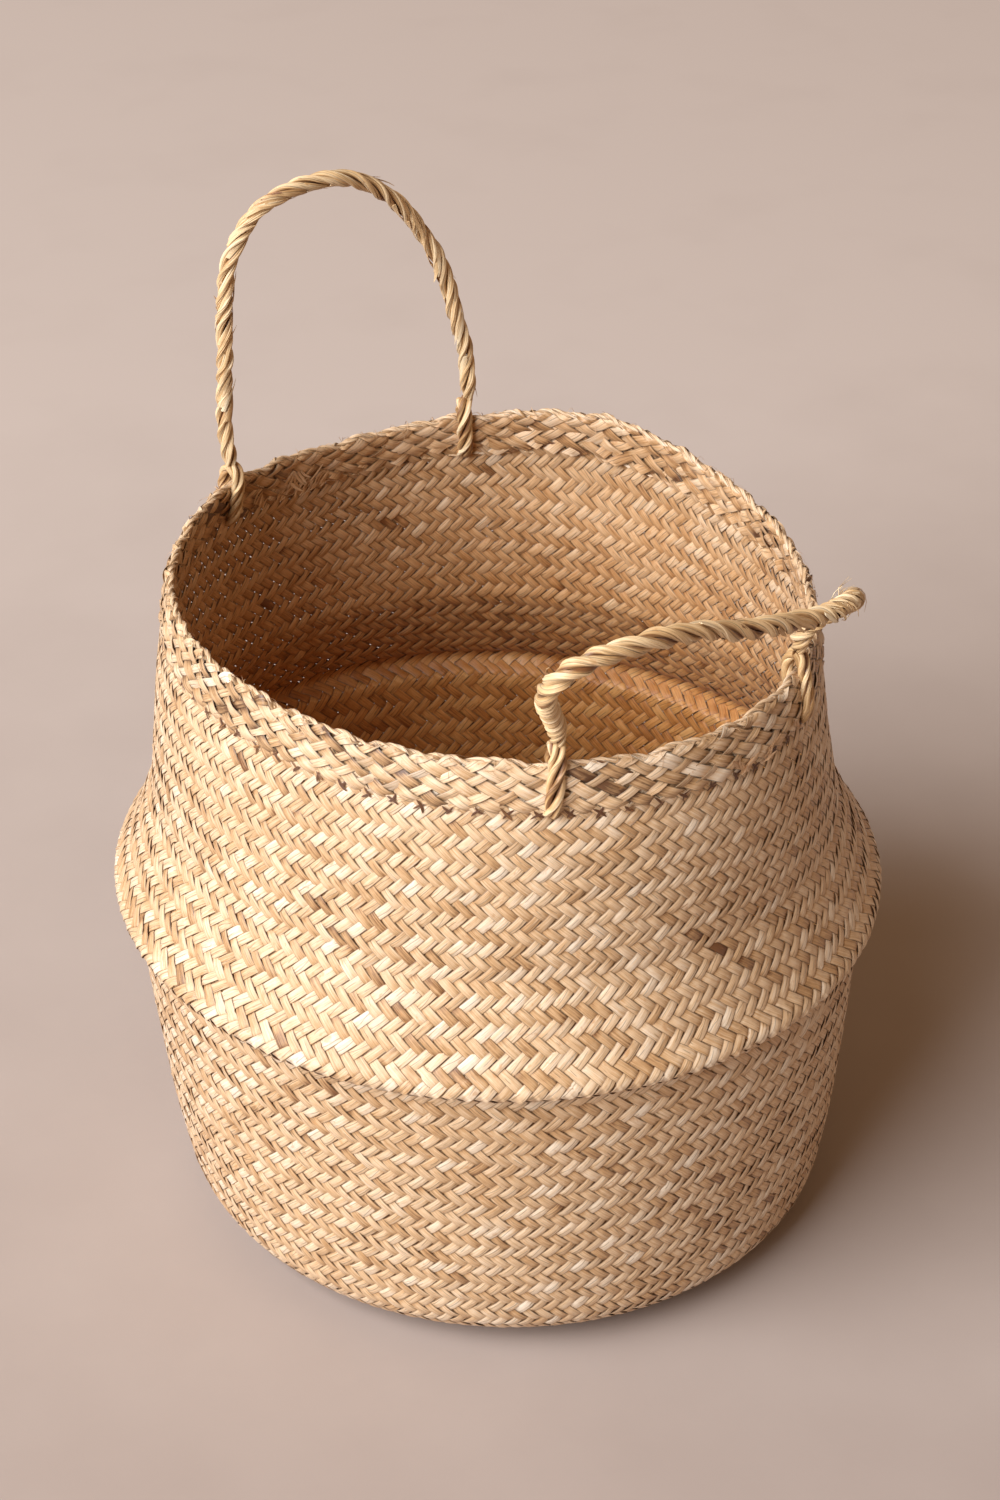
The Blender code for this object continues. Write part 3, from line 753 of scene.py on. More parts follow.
@dataclass
class FloorMat:
    """The floor: a square mat whose strips turn up on all sides and become the wall's."""

    shape: HandShape
    line: SheetLine
    weave: Weave = Weave(156, (1, 1, 0, 0), 0.00055, 0.00050, 0.95, 0.95, tone_spread=0.07)
    edge_length: float = 0.150
    round_from: float = 0.30

    def build(self, material: bpy.types.Material) -> None:
        """Builds the two crossing sets of strips of the floor.

        Args:
            material: The strips' material.
        """
        reach = self.weave.count // 4
        for lean in Lean:
            for half in (0, 1):
                numbers = range(-reach + 1, 0) if half == 0 else range(0, reach)
                meshes = [self._strip(number, reach, lean) for number in numbers]
                piece = self._joined(meshes, f"floor_strips_{lean.name.lower()}_{half + 1}")
                dress(piece, material, Slot.BASE)
                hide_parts("woven_base")
                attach(piece, Part.BOWL.value)

    def _strip(self, number: int, reach: int, lean: Lean) -> StripMesh:
        """One strip of the mat, from edge to edge."""
        weave = self.weave
        extent = reach - abs(number)
        rows = np.arange(-extent, extent + 0.01, 1 / weave.steps)
        seed = 3000 + number * 7 + (1 if lean is Lean.RIGHT else 2)
        sideways, _, across = ribbon_sections(weave, Lean.RIGHT, seed, 1, rows)
        own = number + sideways
        other = rows[None, :, None] + 0 * sideways
        first, second = (own, other) if lean is Lean.RIGHT else (other, own)
        theta, ring = self._round(first + second, first - second, reach)
        level = self._level(number, rows, reach, lean)
        lift = level[None, :, None] + SECTION_HEIGHT * weave.thickness / 2
        points = self.line.at(ring * self.edge_length, lift, theta, self.shape)
        along = np.broadcast_to((rows * 0.0052)[None, :, None], sideways.shape)
        tone = shade_dips(weave.tones(seed, 1, rows - rows.min()), level[None] / weave.lift, 0.30)
        own_seed = np.full(sideways.shape, (seed * 0.137) % 1)
        # Painted sheen: one face of each strip, opposite for the two leans, is marked to be painted lighter
        face = np.broadcast_to(0.5 + 0.5 * lean.value * SECTION_HEIGHT, sideways.shape)
        # Painted shade on the mat's upper faces, which lie inside the basket
        inside = np.broadcast_to(0.5 - 0.5 * SECTION_HEIGHT, sideways.shape)
        return StripMesh(points, along, across, tone, own_seed, face, inside)

    def _round(self, a: np.ndarray, b: np.ndarray, reach: int) -> tuple:
        """Rounds the square mat off towards its edge.

        Args:
            a: The place towards the first side.
            b: The place towards the second side.
            reach: Half the mat's side.

        Returns:
            The angle, and the share of the way from the middle to the edge.
        """
        level = np.maximum(np.abs(a), np.abs(b)) / reach
        wide = np.abs(a) >= np.abs(b)
        safe_a = np.where(np.abs(a) < 1e-9, 1e-9, a)
        safe_b = np.where(np.abs(b) < 1e-9, 1e-9, b)
        quarter = np.where(wide, math.pi / 4 * b / safe_a, math.pi / 2 - math.pi / 4 * a / safe_b)
        signed = np.where(wide, a, b) / reach
        disc = np.stack([signed * np.cos(quarter), signed * np.sin(quarter)], -1)
        flat = np.stack([a, b], -1) / reach * 0.86
        share = np.clip((level - self.round_from) / (1 - self.round_from), 0, 1)[..., None]
        ease = share * share * (3 - 2 * share)
        place = flat * (1 - ease) + disc * ease
        return np.arctan2(place[..., 1], place[..., 0]), np.linalg.norm(place, axis=-1)

    def _level(self, number: int, rows: np.ndarray, reach: int, lean: Lean) -> np.ndarray:
        """How far a strip stands below the mat's middle at each row, in metres."""
        whole = np.arange(math.floor(rows.min()), math.ceil(rows.max()) + 1)
        a, b = (number + whole, number - whole) if lean is Lean.RIGHT else (whole + number, whole - number)
        ring = np.maximum(np.abs(a), np.abs(b)) - reach
        beats = np.array(self.weave.rhythm)[ring % 4] * 2 - 1
        side = np.where(np.abs(a) >= np.abs(b), -1, 1) * lean.value
        return np.interp(rows, whole, beats * side * self.weave.lift)

    @staticmethod
    def _joined(meshes: list, name: str) -> bpy.types.Object:
        """Makes one piece of many strips of unlike length."""
        pieces = [mesh.make(f"{name}_{number}") for number, mesh in enumerate(meshes)]
        bpy.ops.object.select_all(action="DESELECT")
        for piece in pieces:
            piece.select_set(True)
        bpy.context.view_layer.objects.active = pieces[0]
        bpy.ops.object.join()
        pieces[0].name = name
        pieces[0].data.name = name
        return pieces[0]


@dataclass
class FoldedBorder:
    """The border: wider strips in a plain weave, folded over the rim and down its inner side."""

    shape: HandShape
    wall: SheetLine
    weave: Weave = Weave(78, (1, 0), 0.00055, 0.00055, 0.60, 0.90, squash=0.62, steps=4, wobble=0.08, tilt=0.0003, stain=0.12)
    depth: float = 0.0268
    stand_off: float = 0.0019
    crest_drop: float = 0.0022
    tuck: float = 0.0024
    rag: float = 1.1
    inner_growth: float = 0.42
    twist_drop: float = 0.0007

    def section(self) -> SheetLine:
        """Returns the border's own line: up the outer side, over the crest and down the inner side."""
        heights = np.linspace(RIM[1] - self.depth, RIM[1] - self.crest_drop - self.stand_off, 14)
        middle = np.interp(heights, self.wall.line[:, 1], self.wall.line[:, 0])
        top_radius, top_height = middle[-1], heights[-1]
        turns = np.linspace(0, math.pi, 11)[1:-1]
        crest = [(top_radius + self.stand_off * math.cos(t), top_height + self.stand_off * math.sin(t)) for t in turns]
        outer = [(r + self.stand_off, z) for r, z in zip(middle, heights)]
        inner = [(r - self.stand_off, z) for r, z in zip(middle[::-1], heights[::-1])]
        return SheetLine(outer + crest + inner, 0.0)

    def build(self, material: bpy.types.Material) -> None:
        """Builds the border's two crossing sets of strips, its rolled crest and the dark slivers of painted shade at
        its tucks.

        Args:
            material: The strips' material.
        """
        line = self.section()
        pieces = [self._strips(line, lean) for lean in Lean]
        pieces += [self._crest(), self._tuck_shade(), self._frayed_ends(line)]
        for piece in pieces:
            dress(piece, material, Slot.BORDER)
            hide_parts("outer_border", "inner_border", "rim_lip")
            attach(piece, Part.COLLAR.value)

    def ripple(self, theta: np.ndarray) -> np.ndarray:
        """How far the crest rises and falls round the rim."""
        return 0.0008 * np.sin(theta * 39 + 1.3) + 0.0006 * np.sin(theta * 23) + 0.0004 * np.sin(theta * 61 + 0.5)

    def _strips(self, line: SheetLine, lean: Lean) -> bpy.types.Object:
        """Makes the strips of one lean."""
        weave = self.weave
        seed = 901 if lean is Lean.RIGHT else 947
        step = math.pi / weave.count
        rise = RIM[0] * step * weave.squash
        rows = np.arange(0, int(line.length[-1] / rise) + 0.01, 1 / weave.steps)
        sideways, lift, across = ribbon_sections(weave, lean, seed, weave.count, rows)
        rng = np.random.default_rng(seed)
        late = (rows / rows[-1]) ** 6
        inner = np.clip((rows / rows[-1] - 0.45) * 10, 0, 1)[None, :, None]
        if lean is Lean.RIGHT:
            sideways = sideways * (1 + self.inner_growth * inner)
        ends = rng.uniform(-0.6, 1, (weave.count, 1)) * self.rag * late
        run = (rows + ends)[..., None]
        begin = 2 * math.pi * (np.arange(weave.count) + 0.25) / weave.count
        theta = begin[:, None, None] + lean.value * step * (run - sideways)
        length = np.clip((run + sideways) * rise, 0, line.length[-1])
        bottom = np.clip(1 - rows / 1.1, 0, 1)[None, :, None] ** 1.5
        loose = rng.uniform(0, 0.0014, (weave.count, 1, 1)) * late[None, :, None] ** 3
        points = line.at(length, lift - bottom * self.tuck + loose, theta, self.shape)
        crest = np.exp(-(((length - line.length[-1] / 2) / 0.006) ** 2))
        points[..., 2] += crest * self.ripple(theta)
        tone = shade_dips(weave.tones(seed, weave.count, rows), weave.lifts(rows, lean)[None] / weave.lift, 0.22)
        own = np.broadcast_to(rng.uniform(0, 1, (weave.count, 1, 1)), length.shape)
        along = np.broadcast_to((run * 0.0077), length.shape)
        # Painted sheen: right-leaning strips are marked to be painted lighter on both faces
        face = np.full(length.shape, 1.0 if lean is Lean.RIGHT else 0.1)
        # Painted shade on the border's inner side, at 0.35 of its full strength
        inside = 0.35 * np.clip((length / line.length[-1] - 0.5) * 12, 0, 1)
        return StripMesh(points, along, across, tone, own, face, inside).make(f"border_strips_{lean.name.lower()}")

    def _crest(self) -> bpy.types.Object:
        """Makes the rolled crest: the folded strips turn into a thin twist along the rim."""
        theta = np.linspace(0, 2 * math.pi, 721)
        middle = np.interp(RIM[1], self.wall.line[:, 1], self.wall.line[:, 0])
        points = self.shape.place(theta, np.full(theta.shape, middle), np.full(theta.shape, RIM[1] - self.crest_drop))
        points[:, 2] += self.ripple(theta) - self.twist_drop
        twist = TwistedRope(2, 0.00115, 0.00060, ((0.0, 0.0190), (1.0, 0.0190)), blades=2, sides=8)
        return twist.make("border_crest", points, 631, closed=True)

    def _tuck_shade(self) -> bpy.types.Object:
        """Makes dark slivers, painted shade in the crosses where the border's strips are pinched into the wall."""
        rng = np.random.default_rng(71)
        count = self.weave.count
        theta = np.repeat(2 * math.pi * (np.arange(count) + 0.25) / count, 2) + rng.normal(0, 0.004, 2 * count)
        heading = np.tile([0.72, math.pi - 0.72], count) + rng.normal(0, 0.22, 2 * count)
        seam = np.interp(RIM[1] - self.depth, self.wall.line[:, 1], self.wall.length)
        slivers = Slivers(
            theta,
            seam + rng.normal(0, 0.0006, 2 * count),
            heading,
            rng.uniform(0.0050, 0.0080, 2 * count),
            rng.uniform(0.0009, 0.0016, 2 * count),
            np.full(2 * count, 0.0014),
            rng.uniform(-0.0001, 0.0004, 2 * count),
            # Dark tones, so that the slivers show as painted shade
            rng.normal(-0.10, 0.14, 2 * count),
        )
        return slivers.make("border_tuck_shade", self.wall, self.shape, 72)

    def _frayed_ends(self, line: SheetLine) -> bpy.types.Object:
        """Makes the loose hairs of the crest, and the frayed strip ends inside the back of the rim."""
        rng = np.random.default_rng(83)
        hairs, tufts, outer_tufts, blades = 210, 12, 4, 5
        half = line.length[-1] / 2
        lean = np.repeat(rng.choice([0.75, 2.2], tufts), blades)
        apart = np.tile(np.linspace(-0.0042, 0.0042, blades), tufts)
        tuft = np.repeat(rng.uniform(math.radians(80), math.radians(110), tufts), blades)
        tuft[: outer_tufts * blades] -= math.radians(172)
        side = np.where(np.arange(tufts * blades) < outer_tufts * blades, -1, 1)
        theta = np.concatenate([rng.uniform(0, 2 * math.pi, hairs), tuft - np.sin(lean) * apart / RIM[0]])
        low = np.repeat(rng.uniform(0.017, 0.025, tufts), blades) + np.cos(lean) * apart
        length = np.concatenate([half + rng.normal(0, 0.006, hairs), half + side * low + rng.normal(0, 0.0008, tufts * blades)])
        heading = np.concatenate([rng.uniform(0, 2 * math.pi, hairs), lean + rng.normal(0, 0.12, tufts * blades)])
        total = hairs + tufts * blades
        size = np.concatenate([rng.uniform(0.004, 0.011, hairs), rng.uniform(0.008, 0.013, tufts * blades)])
        width = np.concatenate([rng.uniform(0.00018, 0.0004, hairs), rng.uniform(0.0013, 0.0019, tufts * blades)])
        rise = np.concatenate([rng.uniform(0.0004, 0.0022, hairs), rng.uniform(0.0008, 0.0034, tufts * blades)])
        slivers = Slivers(
            theta, length, heading, size, width, np.full(total, 0.0010), rise, rng.normal(0.66, 0.10, total)
        )
        return slivers.make("border_frayed_ends", line, self.shape, 84)


@dataclass
class Slivers:
    """Thin split pieces of straw that lie on a sheet, one value of each kind for each sliver."""

    theta: np.ndarray
    place: np.ndarray
    heading: np.ndarray
    size: np.ndarray
    width: np.ndarray
    lift: np.ndarray
    rise: np.ndarray
    tone: np.ndarray

    def make(self, name: str, line: SheetLine, shape: HandShape, seed: int) -> bpy.types.Object:
        """Makes the slivers as one piece.

        Args:
            name: The piece's name.
            line: The sheet's line.
            shape: The hand-made shape.
            seed: The seed for their bends.

        Returns:
            The piece.
        """
        rng = np.random.default_rng(seed)
        count = len(self.theta)
        run = np.linspace(-1, 1, 7)[None, :, None]
        side = np.array([-1.0, 0.0, 1.0, 0.0])
        height = np.array([0.0, 1.0, 0.0, -1.0])
        column = [value[:, None, None] for value in (self.theta, self.place, self.heading, self.size, self.width)]
        theta, place, heading, size, width = column
        bend = heading + rng.normal(0, 0.22, (count, 1, 1)) * run
        taper = width / 2 * np.sqrt(np.clip(1.02 - run**2, 0, 1))
        forward = run * size / 2
        along_line = place + forward * np.sin(bend) + taper * side * np.cos(bend)
        around = forward * np.cos(bend) - taper * side * np.sin(bend)
        along_line = np.clip(along_line, 0.0005, line.length[-1] - 0.0005)
        radius = np.interp(place, line.length, line.line[:, 0])
        lift = self.lift[:, None, None] + self.rise[:, None, None] * ((run + 1) / 2) ** 1.6 + height * taper * 0.35
        points = line.at(along_line, lift, theta + around / radius, shape)
        tone = np.broadcast_to(self.tone[:, None, None], along_line.shape)
        own = np.broadcast_to(rng.uniform(0, 1, (count, 1, 1)), along_line.shape)
        across = np.broadcast_to(side * 0.6, along_line.shape)
        along = np.broadcast_to(forward, along_line.shape)
        # Every sliver takes half the painted sheen and half the painted inside shade
        half = np.full(along_line.shape, 0.5)
        return StripMesh(points, along, across, tone, own, half, half).make(name)


def even_path(points: np.ndarray, step: float, hint: tuple) -> tuple:
    """A path with even steps, and a frame that doesn't twist along it.

    Args:
        points: The path's points.
        step: The length of a step.
        hint: Roughly which way the first sideways direction points.

    Returns:
        The points, two sideways directions at each, and the length at each.
    """
    lengths = np.concatenate([[0], np.cumsum(np.linalg.norm(np.diff(points, axis=0), axis=1))])
    count = int(lengths[-1] / step) + 1
    at = np.linspace(0, lengths[-1], count)
    path = np.stack([np.interp(at, lengths, points[:, axis]) for axis in range(3)], -1)
    tangent = np.gradient(path, axis=0)
    tangent /= np.linalg.norm(tangent, axis=1, keepdims=True)
    side = np.array(hint, float)
    sides = []
    for direction in tangent:
        side = side - direction * side.dot(direction)
        side = side / np.linalg.norm(side)
        sides.append(side)
    sides = np.array(sides)
    return path, sides, np.cross(tangent, sides), at


@dataclass(frozen=True)
class TwistedRope:
    """A rope of twisted strands, each a bundle of flat blades. Its lay may change along it."""

    strand_count: int
    strand_radius: float
    lay_radius: float
    lays: tuple
    blades: int = 4
    sides: int = 24
    step: float = 0.0012
    flatness: float = 1.0
    tone: float = 0.55
    narrow_length: float = 0.014
    stray: float = 0.0
    shade_spread: float = 0.14

    def make(
        self, name: str, points: np.ndarray, seed: int, closed: bool = False, hint: tuple = (0.31, 0.9, 0.3)
    ) -> bpy.types.Object:
        """Makes the rope along a path.

        Args:
            name: The piece's name.
            points: The path.
            seed: The seed for its unevenness.
            closed: Whether its end meets its start, so that nothing narrows and the turns are whole.
            hint: Roughly which way its wider side faces, for a flat bundle.

        Returns:
            The rope.
        """
        path, side, up, at = even_path(points, self.step, hint)
        rng = np.random.default_rng(seed)
        around = np.linspace(0, 2 * math.pi, self.sides, endpoint=False)
        ends = np.minimum(at, at[-1] - at)
        narrow = np.ones_like(at) if closed else 0.52 + 0.48 * np.clip(ends / self.narrow_length, 0, 1) ** 0.7
        shares, lengths = zip(*self.lays)
        lay_length = np.interp(at / at[-1], shares, lengths)
        turns = np.concatenate([[0], np.cumsum(np.diff(at) / lay_length[1:])])
        if closed:
            turns *= round(turns[-1]) / turns[-1]
        calm = np.clip(ends / 0.01, 0, 1)
        drift = smooth_noise(seed + 60, (2, len(at)), 16) * calm * self.stray
        path = path + side * drift[0][:, None] + up * drift[1][:, None]
        place = around * self.blades / (2 * math.pi) + 0.5
        tri = np.abs(place % 1 * 2 - 1)
        blade = place.astype(int) % self.blades
        strands, tones, faces = [], [], []
        for strand in range(self.strand_count):
            uneven = smooth_noise(seed + strand, (1, len(at)), 11)[0] * calm
            swell = smooth_noise(seed + 20 + strand, (1, len(at)), 7)[0] * calm
            lay = 2 * math.pi * (strand / self.strand_count + turns) + 0.28 * uneven
            reach = self.lay_radius * narrow * (1 + 0.10 * swell)
            wide, thick = reach * np.cos(lay), reach * np.sin(lay) * self.flatness
            centre = path + side * wide[:, None] + up * thick[:, None]
            own = smooth_noise(seed + 40 + strand, (self.sides, len(at)), 12).T * calm[:, None]
            swollen = narrow[:, None] * (1.05 - 0.20 * tri[None] ** 4 + 0.15 * own)
            turn = around[None] + lay[:, None] + 0.35 * uneven[:, None]
            out = side[:, None] * np.cos(turn)[..., None] + up[:, None] * np.sin(turn)[..., None]
            strands.append(centre[:, None] + out * (self.strand_radius * swollen)[..., None])
            shades = rng.normal(self.tone, self.shade_spread, self.blades)
            # Painted shade on the inner side of each strand, where it lies against the others in the rope's grooves
            groove_shade = 0.42 * np.clip(0.35 - np.cos(around), 0, 1.2)
            tones.append(np.broadcast_to(shades[blade] - groove_shade, swollen.shape) + 0.05 * own)
            faces.append(np.broadcast_to(rng.uniform(0, 1, self.blades)[blade], swollen.shape))
        along = np.broadcast_to(at[None, :, None], (self.strand_count, len(at), self.sides))
        across = np.broadcast_to(tri, along.shape)
        own_seed = np.broadcast_to(rng.uniform(0, 1, (self.strand_count, 1, 1)), along.shape)
        # No painted inside shade on the ropes
        plain = np.zeros(along.shape)
        mesh = StripMesh(np.array(strands), along, across, np.array(tones), own_seed, np.array(faces), plain)
        return mesh.make(name)

    def loose_blades(
        self, name: str, points: np.ndarray, seed: int, places: np.ndarray, rises: np.ndarray
    ) -> bpy.types.Object:
        """Makes the split blades that stand out of the rope, each with its root in the twist.

        Args:
            name: The piece's name.
            points: The rope's path.
            seed: The seed for their unevenness.
            places: The share of the rope's length at which each one starts.
            rises: How far the tip of each one may stand out.

        Returns:
            The piece.
        """
        path, side, up, at = even_path(points, self.step, (0.31, 0.9, 0.3))
        rng = np.random.default_rng(seed)
        each = (len(places), 1, 1)
        run = np.linspace(0, 1, 7)[None, :, None]
        place = np.clip(places[:, None, None] + rng.uniform(0.009, 0.019, each) / at[-1] * run, 0, 1) * at[-1]
        shares, lengths = zip(*self.lays)
        lay_length = np.interp(places, shares, lengths)[:, None, None]
        turn = 2 * math.pi * (rng.uniform(0, 1, each) + 0.8 * (place - place[:, :1]) / lay_length)
        reach = self.lay_radius + self.strand_radius * 0.75 + (0.0003 + rises[:, None, None] * rng.uniform(0, 1, each) ** 3) * run**2
        width = rng.uniform(0.0012, 0.0028, each) / 2 * np.sqrt(1.05 - run**2)
        middle, wide, high = (
            np.stack([np.interp(place, at, values[:, axis]) for axis in range(3)], -1) for values in (path, side, up)
        )
        around = np.array([-1.0, 0.0, 1.0, 0.0])
        outwards = reach + np.array([0.0, 1.0, 0.0, -1.0]) * width * 0.3
        radial = wide * np.cos(turn)[..., None] + high * np.sin(turn)[..., None]
        round_rope = high * np.cos(turn)[..., None] - wide * np.sin(turn)[..., None]
        blades = middle + radial * outwards[..., None] + round_rope * (around * width)[..., None]
        shape = blades.shape[:3]
        tone = np.broadcast_to(rng.normal(self.tone, 0.20, each), shape)
        own = np.broadcast_to(rng.uniform(0, 1, each), shape)
        half = np.full(shape, 0.5)
        across = np.broadcast_to(around * 0.7, shape)
        return StripMesh(blades, np.broadcast_to(place, shape), across, tone, own, half, half * 0).make(name)


@dataclass
class RopeHandle:
    """A rope arch that stands on the border, and the two ties that hold its roots."""

    name: str
    part: Part
    shape: HandShape
    wall: SheetLine
    tie_angles: tuple
    tie_names: tuple
    shares: tuple
    rise: float
    reach: float
    bend_towards: tuple
    rope: TwistedRope
    seed: int
    tie_rope: TwistedRope = TwistedRope(
        4, 0.00160, 0.0026, ((0.0, 0.050), (1.0, 0.050)), blades=3, sides=15, flatness=0.5, tone=0.42
    )
    sway: tuple = (0.0, 0.0)
    pivot_height: float = 0.36795
    bend_length: float = 0.020
    tie_offset: float = 0.0046
    tie_bottom: float = 0.0250
    loose: int = 90
    frayed: int = 0
    frayed_at: float = 0.5

    def build(self, material: bpy.types.Material) -> None:
        """Builds the arch and its ties.

        Args:
            material: The rope's material.
        """
        rng = np.random.default_rng(self.seed + 3)
        even = rng.uniform(0.06, 0.94, self.loose)
        frayed = rng.normal(self.frayed_at, 0.022, self.frayed)
        rises = np.concatenate([np.full(self.loose, 0.0024), np.full(self.frayed, 0.0060)])
        start = Vector(self._pivot(self.tie_angles[0]))
        start.z -= 0.004
        end = start + Vector(self.bend_towards).normalized() * self.bend_length
        for piece in (
            self.rope.make(f"{self.name}_rope_twist", self._arch(), self.seed),
            self.rope.loose_blades(
                f"{self.name}_loose_blades", self._arch(), self.seed + 5, np.concatenate([even, frayed]), rises
            ),
        ):
            dress(piece, material, Slot.ROPE)
            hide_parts(f"{self.name}_rope")
            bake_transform(piece)
        for number, (angle, name) in enumerate(zip(self.tie_angles, self.tie_names)):
            round_rim = (-math.sin(angle), math.cos(angle), 0.0)
            seed = self.seed + 70 + number
            tie = self.tie_rope.make(f"{name}_strands", self._tie(angle, self.sway[number]), seed, closed=True, hint=round_rim)
            dress(tie, material, Slot.ROPE)
            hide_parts(name)
            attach(tie, Part.COLLAR.value)

    def _pivot(self, angle: float) -> np.ndarray:
        """The point above the border's crest where a root of the arch stands."""
        point = self.shape.place(np.array(angle), np.array(RIM[0] - SHEET_THICKNESS / 2), np.array(RIM[1]))
        return np.array([point[0], point[1], self.pivot_height])

    def _arch(self) -> np.ndarray:
        """The middle line of the arch, from root to root."""
        start, end = self._pivot(self.tie_angles[0]), self._pivot(self.tie_angles[1])
        span = end - start
        outwards = np.array([span[1], -span[0], 0])
        outwards /= np.linalg.norm(outwards)
        if outwards @ (start + end) < 0:
            outwards = -outwards
        up = np.array([0, 0, self.rise])
        guide = [tuple(start + span * a + up * u + outwards * self.reach * o) for a, u, o in self.shares]
        return np.array(curve_through(guide, 12))

    def _tie(self, angle: float, sway: float) -> np.ndarray:
        """The line of a tie: from the root over the border, down its outer side, and up its inner one.

        Args:
            angle: Where it stands round the rim.
            sway: How far round the rim its lower end has slipped, in metres.

        Returns:
            The line's points.
        """
        top = RIM[1]
        low = top - self.tie_bottom
        half = [
            (0.0, top + 0.0078),
            (0.0030, top + 0.0052),
            (self.tie_offset - 0.0002, top - 0.0010),
            (self.tie_offset, top - 0.0090),
            (self.tie_offset, top - 0.0180),
            (self.tie_offset - 0.0010, low + 0.0036),
            (self.tie_offset / 2, low + 0.0004),
        ]
        turn = half + [(0.0, low - 0.0006)] + [(-offset, height) for offset, height in reversed(half)]
        points = []
        for offset, height in turn:
            radius = np.interp(min(height, top), self.wall.line[:, 1], self.wall.line[:, 0]) + offset
            slip = sway * math.sin(math.pi * min(1, (top + 0.008 - height) / 0.036) * 0.5) ** 3
            place = self.shape.place(np.array(angle + slip / radius), np.array(radius), np.array(min(height, top)))
            points.append((place[0], place[1], place[2] + max(0.0, height - top)))
        return np.array(curve_through(points, 8))


BACK_ARCH = (
    (0.000, 0.000, 0.0),
    (-0.014, 0.125, 0.0),
    (-0.016, 0.390, 0.0),
    (0.000, 0.640, 0.0),
    (0.032, 0.802, 0.0),
    (0.117, 0.912, 0.0),
    (0.228, 0.965, 0.0),
    (0.402, 0.982, 0.0),
    (0.538, 0.952, 0.0),
    (0.668, 0.872, 0.0),
    (0.808, 0.712, 0.0),
    (0.910, 0.514, 0.0),
    (0.977, 0.312, 0.0),
    (1.012, 0.118, 0.0),
    (1.014, 0.000, 0.0),
)
FRONT_ARCH = (
    (0.012, 0.000, 0.000),
    (-0.018, 0.140, 0.050),
    (-0.076, 0.280, 0.160),
    (-0.158, 0.443, 0.390),
    (-0.238, 0.610, 0.630),
    (-0.270, 0.728, 0.760),
    (-0.272, 0.810, 0.860),
    (-0.198, 0.888, 0.950),
    (-0.042, 0.912, 1.000),
    (0.215, 0.835, 0.960),
    (0.467, 0.695, 0.850),
    (0.693, 0.566, 0.720),
    (0.868, 0.485, 0.620),
    (0.985, 0.480, 0.570),
    (1.050, 0.466, 0.500),
    (1.070, 0.388, 0.370),
    (1.010, 0.290, 0.215),
    (0.985, 0.190, 0.110),
    (1.000, 0.095, 0.040),
    (1.015, 0.000, 0.000),
)


